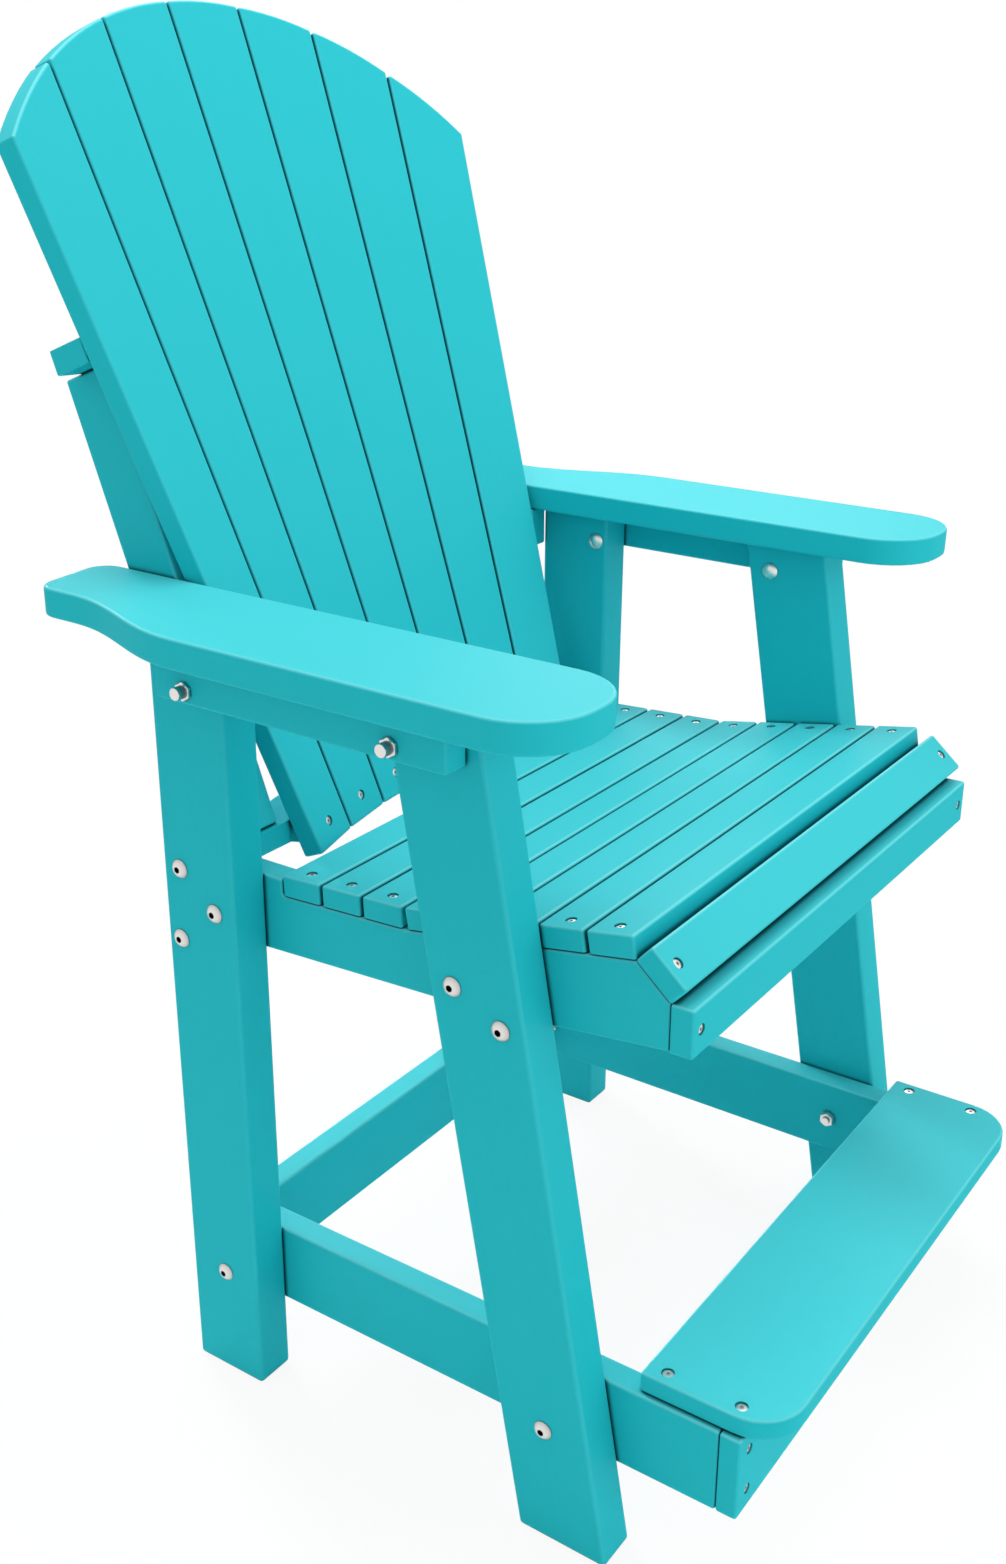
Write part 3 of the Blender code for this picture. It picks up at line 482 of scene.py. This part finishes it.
def board_surface(board, edge, under_edge, swell, pocket_depth, lip):
    """Points in the board's axes, faces, and how routed each point is, of a board with rounded edges.

    The rim is a profile carried round the outline, which the swell moves outwards: a quarter
    circle of the under edge's radius and one of the edge's radius, joined by a straight side, each
    station an inset and a height. Flat faces close it on both sides, pierced by the bores, and
    pockets go down from the upper face with a small rounded lip. Routed is 1 along the middle of
    each rounding and 0 on flats.
    """
    outline, bend = eased(board.outline - swell * inward_miters(board.outline), edge)
    swing = np.linspace(0, math.pi / 2, EDGE_STEPS)
    inset = 1 - np.sin(swing)
    rise = 1 - np.cos(swing)
    insets = np.concatenate([under_edge * inset, edge * inset[::-1]])
    heights = np.concatenate([board.low + under_edge * rise, board.high - edge * rise[::-1]])
    ridge = np.concatenate([np.sin(2 * swing), np.sin(2 * swing[::-1])])
    off_face = np.pad(np.ones(len(ridge) - 2), 1)
    routed = [np.maximum(ridge[:, None], off_face[:, None] * bend).reshape(-1)]
    rim = outline[None] + insets[:, None, None] * inward_miters(outline)[None]
    points = [raised(rim, heights)]
    faces = grid_faces(0, len(insets), len(outline)).tolist()
    used = len(points[0])
    lower, upper = [rim[0]], [rim[-1]]
    lower_starts, upper_starts = [0], [used - len(outline)]
    angle = np.linspace(0, 2 * math.pi, HOLE_SIDES, endpoint=False)
    ring = np.stack([np.cos(angle), np.sin(angle)], axis=1)
    for number, (centre, radius) in enumerate(board.bores + board.pockets):
        bored = number < len(board.bores)
        bottom = board.low if bored else board.high - pocket_depth
        radii = np.array([radius + lip, radius + LIP_SHARE * lip, radius, radius])
        levels = np.array([board.high, board.high - LIP_SHARE * lip, board.high - lip, bottom])
        wall = centre + radii[:, None, None] * ring
        points.append(raised(wall, levels))
        routed.append(np.zeros(len(points[-1])))
        faces += grid_faces(used, len(levels), HOLE_SIDES).tolist()
        upper.append(wall[0])
        upper_starts.append(used)
        last = used + (len(levels) - 1) * HOLE_SIDES
        if bored:
            lower.append(wall[-1])
            lower_starts.append(last)
        else:
            faces.append(list(range(last, last + HOLE_SIDES)))
        used = last + HOLE_SIDES
    faces += flat_faces(upper, upper_starts).tolist()
    faces += flat_faces(lower, lower_starts)[:, ::-1].tolist()
    return np.concatenate(points), faces, np.concatenate(routed)


def keep_flats_flat(piece):
    """Weigh a piece's normals by the areas of its faces, so that roundings don't bend the flats."""
    level = piece.modifiers.new("flat_faces_stay_flat", "WEIGHTED_NORMAL")
    level.keep_sharp = True


def add_piece(name, points, faces, material, node=None):
    """Mesh object of points and faces that rides on the chair and takes the place of a node."""
    mesh = bpy.data.meshes.new(name)
    mesh.from_pydata(points.tolist(), [], faces)
    mesh.update()
    mesh.shade_smooth()
    mesh.set_sharp_from_angle(angle=SHARP_TURN)
    mesh.materials.append(material)
    piece = bpy.data.objects.new(name, mesh)
    bpy.context.scene.collection.objects.link(piece)
    keep_flats_flat(piece)
    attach(piece, BODY)
    if node:
        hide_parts(node)
    return piece


def set_attribute(piece, name, values, domain="POINT"):
    """Give a piece's mesh an attribute with a number or a vector for each point or face."""
    vectors = values.ndim == 2
    attribute = piece.data.attributes.new(name, "FLOAT_VECTOR" if vectors else "FLOAT", domain)
    attribute.data.foreach_set("vector" if vectors else "value", values.astype(np.float32).reshape(-1))


def board_of(node, sizes):
    """Board of a CAD node, with wider screw pockets where it is the footrest's."""
    board = Board(node)
    if node == FOOTREST_BOARD:
        board.pockets = [(centre, sizes.footrest_pocket) for centre, _ in board.pockets]
    return board


def add_boards(context, nodes, edge, under_edge=None, swell=0.0):
    """Rounded board in the place of each node, with its streaks laid along it.

    A face's upward share, the upward part of its normal raised to a power, sets its painted sheen
    and how strongly its routed edges get painted highlight.
    """
    sizes = context.scene.chair_sizes
    for node in nodes:
        board = board_of(node, sizes)
        points, faces, routed = board_surface(
            board, edge, under_edge or edge, swell, sizes.pocket_depth, sizes.pocket_lip)
        piece = add_piece(
            f"{node}_board", points @ board.axes, faces, lumber_material(context), node)
        set_attribute(piece, GRAIN, points + sorted(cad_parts).index(node) * GRAIN_STEP)
        set_attribute(piece, ROUTED, routed)
        normals = np.empty(3 * len(piece.data.polygons), np.float32)
        piece.data.polygon_normals.foreach_get("vector", normals)
        set_attribute(piece, UPWARD, np.clip(normals[2::3], 0, 1) ** UPWARD_FALL, "FACE")


def add_steel(context, name, points, faces, grimy, node=None):
    """Steel piece with painted shade in its sockets and at its rims, and darker along its ends."""
    piece = add_piece(name, points, faces, steel_material(context), node)
    set_attribute(piece, DARKENED, grimy)


def dress_hollowed(context, nodes, edge):
    """Keep a hollowed board's CAD shape, round its edges and give it poly lumber along X."""
    for node in nodes:
        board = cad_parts[node]
        board.data.materials.clear()
        board.data.materials.append(lumber_material(context, own_grain=False))
        weld = board.modifiers.new("join_faces", "WELD")
        weld.merge_threshold = SAME_CORNER
        rounding = board.modifiers.new("rounded_edges", "BEVEL")
        rounding.width = edge
        rounding.segments = EDGE_STEPS - 1
        rounding.limit_method = "ANGLE"
        rounding.angle_limit = SHARP_TURN
        keep_flats_flat(board)


def turned_surface(stations, start=0):
    """Points of a shape turned about X, faces numbered from start, and how darkened each point is.

    Each station is a place along X, a round radius, a width across the flats of a polygon with
    its count of sides, 0 where it has none, and its darkening: the radius at an angle is the lesser
    of the round one and the polygon's. The first and last rings are closed by flat faces.
    """
    angle = np.linspace(0, 2 * math.pi, TURNED_SIDES, endpoint=False)
    rings = []
    for x, radius, flats, sides, _ in stations:
        reach = np.full(TURNED_SIDES, radius)
        if sides:
            sector = 2 * math.pi / sides
            off_flat = (angle + sector / 2) % sector - sector / 2
            reach = np.minimum(reach, flats / 2 / np.cos(off_flat))
        place = np.full(TURNED_SIDES, x)
        rings.append(np.stack([place, reach * np.cos(angle), reach * np.sin(angle)], axis=1))
    points = np.concatenate(rings)
    first = start + np.arange(TURNED_SIDES)
    faces = grid_faces(start, len(stations), TURNED_SIDES).tolist()
    faces.append(first[::-1].tolist())
    faces.append((first + len(points) - TURNED_SIDES).tolist())
    return points, faces, np.repeat([station[-1] for station in stations], TURNED_SIDES)


def bolt_stations(sizes, length, socketed):
    """Stations of a bolt along X, from the end past its nut to its domed head.

    The head is the cap of a ball on a low rim: its height is the root of the ball's radius
    squared less the distance from the axis squared. The end past the nut is darkened, most next
    to the nut. In a head with a socket, painted shade fills the socket and grows towards the rim
    with the fourth power of that distance.
    """
    shank, nut, socket = sizes.bolt_radius, sizes.nut_width, sizes.socket_width
    head, rise = sizes.bolt_head_radius, sizes.bolt_head_rise
    if socketed:
        start, end, tip, nut_thick = 0.0, shank, sizes.bolt_tip, sizes.nut_thick
    else:
        start, end, tip = sizes.arm_bolt_short, sizes.arm_bolt_end, sizes.arm_bolt_tip
        nut_thick = sizes.arm_nut_thick
    nut_out = start + tip
    nut_in = nut_out + nut_thick
    nut_corner, chamfer = nut / math.sqrt(3), NUT_CHAMFER * nut_thick
    seat, rim = length - rise, HEAD_RIM * rise
    stations = [
        # Rounded end past the nut
        (start, 0.8 * end, 0, 0, 0),
        (start + 0.06 * end, 0.94 * end, 0, 0, 0),
        # Darker along the end, most next to the nut
        (start + 0.2 * end, end, 0, 0, END_DARKENING[0]),
        (nut_out, end, 0, 0, END_DARKENING[1]),
        (nut_out, 1.02 * end, 0, 0, 0),
        # Six-sided nut
        (nut_out, NUT_FACE * nut, 0, 0, 0),
        (nut_out + chamfer, nut_corner, nut, 6, 0),
        (nut_in - chamfer, nut_corner, nut, 6, 0),
        (nut_in, NUT_FACE * nut, 0, 0, 0),
        # Shank, and the rim of the head
        (nut_in, shank, 0, 0, 0),
        (seat, shank, 0, 0, 0),
        (seat, 0.97 * head, 0, 0, 0),
        (seat + 0.5 * rim, head, 0, 0, 0),
    ]
    cap = rise - rim
    ball = (head ** 2 + cap ** 2) / (2 * cap)
    top = SOCKET_MOUTH * socket / math.sqrt(3) if socketed else DOME_TOP * head
    out = np.linspace(head, top, DOME_STEPS)
    height = length - ball + np.sqrt(ball ** 2 - out ** 2)
    none = np.zeros(DOME_STEPS)
    # Painted shade, growing towards the head's rim
    darkening = RIM_SHADE * (out / head) ** 4 if socketed else none
    stations += np.stack([height, out, none, none, darkening], axis=1).tolist()
    if socketed:
        mouth = float(height[-1])
        floor = mouth - sizes.socket_depth
        # Painted shade fills the socket
        stations += [
            (mouth - 0.05 * rise, socket, socket, 6, 1),
            (floor, socket, socket, 6, 1),
            (floor, 0.3 * socket, 0, 0, 1),
        ]
    return stations


def screw_stations(head):
    """Stations of a low screw head along X, from its underside to the floor of its square drive."""
    return [(height, radius * head, flats * head, sides, darkening)
            for height, radius, flats, sides, darkening in SCREW_PROFILE]


def shown_white(tree):
    """Socket that is 1 to the eye, in mirrors and through glass, and 0 to light that falls on things."""
    ray = add_node(tree, "ShaderNodeLightPath")
    seen = add_node(tree, "ShaderNodeMath", {
        0: ray.outputs["Is Camera Ray"], 1: ray.outputs["Is Glossy Ray"]}, operation="MAXIMUM")
    shown = add_node(tree, "ShaderNodeMath", {
        0: seen.outputs["Value"], 1: ray.outputs["Is Transmission Ray"]}, operation="MAXIMUM")
    return shown.outputs["Value"]


def matt_white_floor(name):
    """Studio floor painted matt white.

    It gives the eye plain white that keeps a faint shadow of the chair near its feet and goes
    over into the white of the room further away.
    """
    material, tree = new_material(name)
    shown = shown_white(tree)
    place = add_node(tree, "ShaderNodeTexCoord")
    away = add_node(tree, "ShaderNodeVectorMath", {0: place.outputs["Object"]}, operation="LENGTH")
    whiter = add_node(tree, "ShaderNodeMapRange", {
        "Value": away.outputs["Value"], "From Min": SHADOW_FULL, "From Max": SHADOW_GONE,
        "To Min": NEAR_GLOW, "To Max": 1.0}, interpolation_type="SMOOTHSTEP")
    share = add_node(tree, "ShaderNodeMath", {
        0: shown, 1: whiter.outputs["Result"]}, operation="MULTIPLY")
    matt = add_node(tree, "ShaderNodeBsdfDiffuse", {"Color": FLOOR_WHITE})
    glow = add_node(tree, "ShaderNodeEmission", {"Color": PURE_WHITE, "Strength": 1.0})
    mixed = add_node(tree, "ShaderNodeMixShader", {
        "Fac": share.outputs["Value"], 1: matt.outputs["BSDF"], 2: glow.outputs["Emission"]})
    add_node(tree, "ShaderNodeOutputMaterial", {"Surface": mixed.outputs["Shader"]})
    return material


def add_floor(scene):
    """Square floor just under the chair's feet."""
    x, y = np.meshgrid([-FLOOR_REACH, FLOOR_REACH], [-FLOOR_REACH, FLOOR_REACH])
    places = np.stack([x.ravel(), y.ravel(), np.full(4, -FLOOR_DEPTH)], axis=1)
    mesh = bpy.data.meshes.new("studio_floor")
    mesh.from_pydata(places.tolist(), [], [(0, 1, 3, 2)])
    mesh.materials.append(material_named("matt_white_floor", matt_white_floor))
    floor = bpy.data.objects.new("studio_floor", mesh)
    scene.collection.objects.link(floor)


def add_room(scene):
    """White room round the chair, which lights it less brightly than it shows."""
    world = bpy.data.worlds.new("white_studio")
    world.use_nodes = True
    tree = world.node_tree
    tree.nodes.clear()
    shown = shown_white(tree)
    room = add_node(tree, "ShaderNodeBackground", {"Color": PURE_WHITE, "Strength": ROOM_LIGHT})
    white = add_node(tree, "ShaderNodeBackground", {"Color": PURE_WHITE, "Strength": 1.0})
    mixed = add_node(tree, "ShaderNodeMixShader", {
        "Fac": shown, 1: room.outputs["Background"], 2: white.outputs["Background"]})
    add_node(tree, "ShaderNodeOutputWorld", {"Surface": mixed.outputs["Shader"]})
    scene.world = world


def add_softboxes(scene):
    """Square softboxes, each turned to its target and hidden from the camera."""
    for name, place, target, width, power, spread, lights_matt in SOFTBOXES:
        lamp = bpy.data.lights.new(name, "AREA")
        lamp.size = width
        lamp.energy = power
        lamp.spread = math.radians(spread)
        holder = bpy.data.objects.new(name, lamp)
        holder.location = place
        holder.rotation_euler = (Vector(target) - Vector(place)).to_track_quat("-Z", "Y").to_euler()
        holder.visible_camera = False
        holder.visible_diffuse = lights_matt
        scene.collection.objects.link(holder)


def add_camera(scene):
    """Camera where the photograph was taken from."""
    lens = bpy.data.cameras.new("photo_camera")
    lens.sensor_fit = "VERTICAL"
    lens.sensor_height = FILM_HEIGHT
    lens.lens = FOCAL_LENGTH
    camera = bpy.data.objects.new("photo_camera", lens)
    camera.location = CAMERA_PLACE
    camera.rotation_euler = (math.radians(90 - CAMERA_DIP), 0, math.radians(CAMERA_HEADING))
    scene.collection.objects.link(camera)
    scene.camera = camera


class ChairSizes(bpy.types.PropertyGroup):
    """Sizes of the edges and fasteners."""

    leg_edge: bpy.props.FloatProperty(
        name="Leg edge", description="Radius of the legs' edges", default=0.0045, unit="LENGTH")
    board_edge: bpy.props.FloatProperty(
        name="Board edge", description="Radius of the edges of rails, stringers and stretchers",
        default=0.003, unit="LENGTH")
    slat_edge: bpy.props.FloatProperty(
        name="Slat edge", description="Radius of the seat slats' edges", default=0.0028, unit="LENGTH")
    slat_under_edge: bpy.props.FloatProperty(
        name="Slat under edge", description="Radius of the seat slats' lower edges",
        default=0.0007, unit="LENGTH")
    stringer_gap: bpy.props.FloatProperty(
        name="Stringer gap", description="How far the stringers are planed back from the boards on them",
        default=0.0006, unit="LENGTH")
    front_under_edge: bpy.props.FloatProperty(
        name="Seat front under edge",
        description="Radius of the lower edges where the seat's front boards meet",
        default=0.0002, unit="LENGTH")
    front_swell: bpy.props.FloatProperty(
        name="Seat front fit", description="How far the seat's front boards close up on each other",
        default=0.00028, unit="LENGTH")
    back_edge: bpy.props.FloatProperty(
        name="Back slat edge", description="Radius of the back slats' edges", default=0.003, unit="LENGTH")
    arm_edge: bpy.props.FloatProperty(
        name="Arm edge", description="Radius of the arms' edges", default=0.003, unit="LENGTH")
    footrest_edge: bpy.props.FloatProperty(
        name="Footrest edge", description="Radius of the footrest's edges", default=0.0028, unit="LENGTH")
    pocket_depth: bpy.props.FloatProperty(
        name="Pocket depth", description="Depth of the screw pockets", default=0.0035, unit="LENGTH")
    pocket_lip: bpy.props.FloatProperty(
        name="Pocket lip", description="Rounding at the mouth of the holes", default=0.0004, unit="LENGTH")
    footrest_pocket: bpy.props.FloatProperty(
        name="Footrest pocket", description="Radius of the screw pockets in the footrest's top",
        default=0.0061, unit="LENGTH")
    screw_play: bpy.props.FloatProperty(
        name="Screw play", description="Space round a screw head in its pocket",
        default=0.0004, unit="LENGTH")
    bolt_radius: bpy.props.FloatProperty(
        name="Bolt", description="Radius of the bolts' shanks", default=0.00475, unit="LENGTH")
    bolt_head_radius: bpy.props.FloatProperty(
        name="Bolt head", description="Radius of the bolts' button heads", default=0.0095, unit="LENGTH")
    bolt_head_rise: bpy.props.FloatProperty(
        name="Bolt head rise", description="Height of the button heads", default=0.005, unit="LENGTH")
    socket_width: bpy.props.FloatProperty(
        name="Socket", description="Width across the flats of the heads' sockets",
        default=0.0056, unit="LENGTH")
    socket_depth: bpy.props.FloatProperty(
        name="Socket depth", description="Depth of the heads' sockets", default=0.003, unit="LENGTH")
    nut_width: bpy.props.FloatProperty(
        name="Nut", description="Width of the nuts across their flats", default=0.0155, unit="LENGTH")
    nut_thick: bpy.props.FloatProperty(
        name="Nut thickness", description="Thickness of the nuts", default=0.008, unit="LENGTH")
    bolt_tip: bpy.props.FloatProperty(
        name="Bolt end", description="Length of a bolt past its nut", default=0.003, unit="LENGTH")
    arm_bolt_end: bpy.props.FloatProperty(
        name="Arm bolt cap", description="Radius of the smooth end of an arm bolt",
        default=0.006, unit="LENGTH")
    arm_bolt_tip: bpy.props.FloatProperty(
        name="Arm bolt end", description="Length of an arm bolt past its nut",
        default=0.009, unit="LENGTH")
    arm_bolt_short: bpy.props.FloatProperty(
        name="Arm bolt short", description="How much shorter an arm bolt is than its CAD solid",
        default=0.004, unit="LENGTH")
    arm_nut_thick: bpy.props.FloatProperty(
        name="Arm nut thickness", description="Thickness of the arm bolts' nuts",
        default=0.0035, unit="LENGTH")


class ChairFinish(bpy.types.PropertyGroup):
    """Colours of the lumber and the steel."""

    lumber_deep: bpy.props.FloatVectorProperty(
        name="Lumber, deep", description="Deeper tone of the poly lumber's streaks",
        subtype="COLOR", size=4, min=0, max=1, default=linear("#1BBAC4"))
    lumber_pale: bpy.props.FloatVectorProperty(
        name="Lumber, pale", description="Paler tone of the poly lumber's streaks",
        subtype="COLOR", size=4, min=0, max=1, default=linear("#1FBDC7"))
    # Painted sheen: paler colour laid on faces that look up, standing in for the pale haze of lit tops
    lumber_top_sheen: bpy.props.FloatVectorProperty(
        name="Lumber, faded", description="Tone of the poly lumber's faces that look up to the sun",
        subtype="COLOR", size=4, min=0, max=1, default=linear("#46C6CE"))
    # Painted highlight: pale colour mixed onto routed edges, the more the more they face up
    lumber_edge_highlight: bpy.props.FloatVectorProperty(
        name="Lumber, worn", description="Tone of the poly lumber's burnished edges",
        subtype="COLOR", size=4, min=0, max=1, default=linear("#7FE0E5"))
    # Painted shade: dark tone laid where seams and contacts between boards are narrow
    lumber_seam_shade: bpy.props.FloatVectorProperty(
        name="Lumber, seams", description="Tone of the dirt in the seams between boards",
        subtype="COLOR", size=4, min=0, max=1, default=linear("#08525C"))
    steel: bpy.props.FloatVectorProperty(
        name="Steel", description="Colour of the bolts and screws",
        subtype="COLOR", size=4, min=0, max=1, default=linear("#E6E3E0"))
    # Dark tone for painted shade in sockets, drives and at head rims, and for the darkening along bolt ends
    steel_dark: bpy.props.FloatVectorProperty(
        name="Steel, grime", description="Colour of the grime in sockets, at rims and along bolt ends",
        subtype="COLOR", size=4, min=0, max=1, default=linear("#24292B"))


class CHAIR_OT_base(bpy.types.Operator):
    """Build the legs and stretchers"""

    bl_idname = "chair.base"
    bl_label = "Legs and stretchers"

    def execute(self, context):
        sizes = context.scene.chair_sizes
        add_boards(context, LEGS, sizes.leg_edge)
        add_boards(context, STRETCHERS, sizes.board_edge)
        return {"FINISHED"}


class CHAIR_OT_footrest(bpy.types.Operator):
    """Build the footrest board and its apron"""

    bl_idname = "chair.footrest"
    bl_label = "Footrest"

    def execute(self, context):
        add_boards(context, FOOTREST, context.scene.chair_sizes.footrest_edge)
        return {"FINISHED"}


class CHAIR_OT_seat(bpy.types.Operator):
    """Build the stringers, seat slats, nose slat and apron"""

    bl_idname = "chair.seat"
    bl_label = "Seat"

    def execute(self, context):
        sizes = context.scene.chair_sizes
        add_boards(context, STRINGERS, sizes.board_edge, swell=-sizes.stringer_gap)
        add_boards(context, SEAT_SLATS, sizes.slat_edge, sizes.slat_under_edge)
        add_boards(context, SEAT_FRONT, sizes.slat_edge, sizes.front_under_edge, sizes.front_swell)
        return {"FINISHED"}


class CHAIR_OT_back(bpy.types.Operator):
    """Build the back slats and supports, and finish the hollowed cleat and rail"""

    bl_idname = "chair.back"
    bl_label = "Back"

    def execute(self, context):
        sizes = context.scene.chair_sizes
        add_boards(context, BACK_SLATS, sizes.back_edge)
        add_boards(context, SUPPORTS, sizes.board_edge)
        dress_hollowed(context, HOLLOWED, sizes.slat_edge)
        return {"FINISHED"}


class CHAIR_OT_arms(bpy.types.Operator):
    """Build the arms with their rails and blocks"""

    bl_idname = "chair.arms"
    bl_label = "Arms"

    def execute(self, context):
        sizes = context.scene.chair_sizes
        add_boards(context, ARMS, sizes.arm_edge)
        add_boards(context, ARM_RAILS_AND_BLOCKS, sizes.board_edge)
        return {"FINISHED"}


class CHAIR_OT_bolts(bpy.types.Operator):
    """Build the through bolts with their nuts"""

    bl_idname = "chair.bolts"
    bl_label = "Bolts"

    def execute(self, context):
        sizes = context.scene.chair_sizes
        for node in BOLTS:
            low, high = (np.array(corner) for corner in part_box(node))
            middle = (low + high) / 2
            length = high[0] - low[0]
            heads_outwards = not node.startswith("arm")
            points, faces, grimy = turned_surface(bolt_stations(sizes, length, heads_outwards))
            points[:, 0] -= length / 2
            if (middle[0] > 0) != heads_outwards:
                points[:, :2] *= -1
            add_steel(context, f"{node}_steel", points + middle, faces, grimy, node)
        return {"FINISHED"}


class CHAIR_OT_screws(bpy.types.Operator):
    """Set a screw head in every pocket of the slats, aprons and footrest"""

    bl_idname = "chair.screws"
    bl_label = "Screws"

    def execute(self, context):
        sizes = context.scene.chair_sizes
        groups = {"seat": SEAT_SLATS + SEAT_FRONT, "back": BACK_SLATS, "footrest": FOOTREST}
        for group, nodes in groups.items():
            heads, faces, darkening, used = [], [], [], 0
            for node in nodes:
                board = board_of(node, sizes)
                for centre, radius in board.pockets:
                    stations = screw_stations(radius - sizes.screw_play)
                    shape, sides, grimy = turned_surface(stations, used)
                    place = np.array([*centre, board.high - sizes.pocket_depth])
                    heads.append((shape[:, [1, 2, 0]] + place) @ board.axes)
                    faces += sides
                    darkening.append(grimy)
                    used += len(shape)
            add_steel(context, f"{group}_screws", np.concatenate(heads), faces, np.concatenate(darkening))
        return {"FINISHED"}


class CHAIR_OT_stage(bpy.types.Operator):
    """Lay the floor, set the lamps and place the camera"""

    bl_idname = "chair.stage"
    bl_label = "Stage"

    def execute(self, context):
        scene = context.scene
        scene.view_settings.view_transform = "Standard"
        add_floor(scene)
        add_room(scene)
        add_softboxes(scene)
        add_camera(scene)
        return {"FINISHED"}


class CHAIR_PT_sidebar(bpy.types.Panel):
    """Steps, sizes and colours of the chair"""

    bl_idname = "CHAIR_PT_sidebar"
    bl_label = "Counter chair"
    bl_space_type = "VIEW_3D"
    bl_region_type = "UI"
    bl_category = "Chair"

    def draw(self, context):
        for operator in OPERATORS:
            self.layout.operator(operator.bl_idname)
        for group in (context.scene.chair_sizes, context.scene.chair_finish):
            for name in group.__annotations__:
                self.layout.prop(group, name)


OPERATORS = (
    CHAIR_OT_base,
    CHAIR_OT_footrest,
    CHAIR_OT_seat,
    CHAIR_OT_back,
    CHAIR_OT_arms,
    CHAIR_OT_bolts,
    CHAIR_OT_screws,
    CHAIR_OT_stage,
)
CLASSES = (ChairSizes, ChairFinish, *OPERATORS, CHAIR_PT_sidebar)


def register():
    """Register the classes and hang the chair's settings on the scene."""
    for each in CLASSES:
        bpy.utils.register_class(each)
    bpy.types.Scene.chair_sizes = bpy.props.PointerProperty(type=ChairSizes)
    bpy.types.Scene.chair_finish = bpy.props.PointerProperty(type=ChairFinish)


def unregister():
    """Take the settings and classes away again."""
    del bpy.types.Scene.chair_finish
    del bpy.types.Scene.chair_sizes
    for each in reversed(CLASSES):
        bpy.utils.unregister_class(each)


def main():
    """Build the chair step by step."""
    register()
    bpy.ops.chair.base()
    bpy.ops.chair.footrest()
    bpy.ops.chair.seat()
    bpy.ops.chair.back()
    bpy.ops.chair.arms()
    bpy.ops.chair.bolts()
    bpy.ops.chair.screws()
    bpy.ops.chair.stage()


if __name__ == "__main__":
    main()
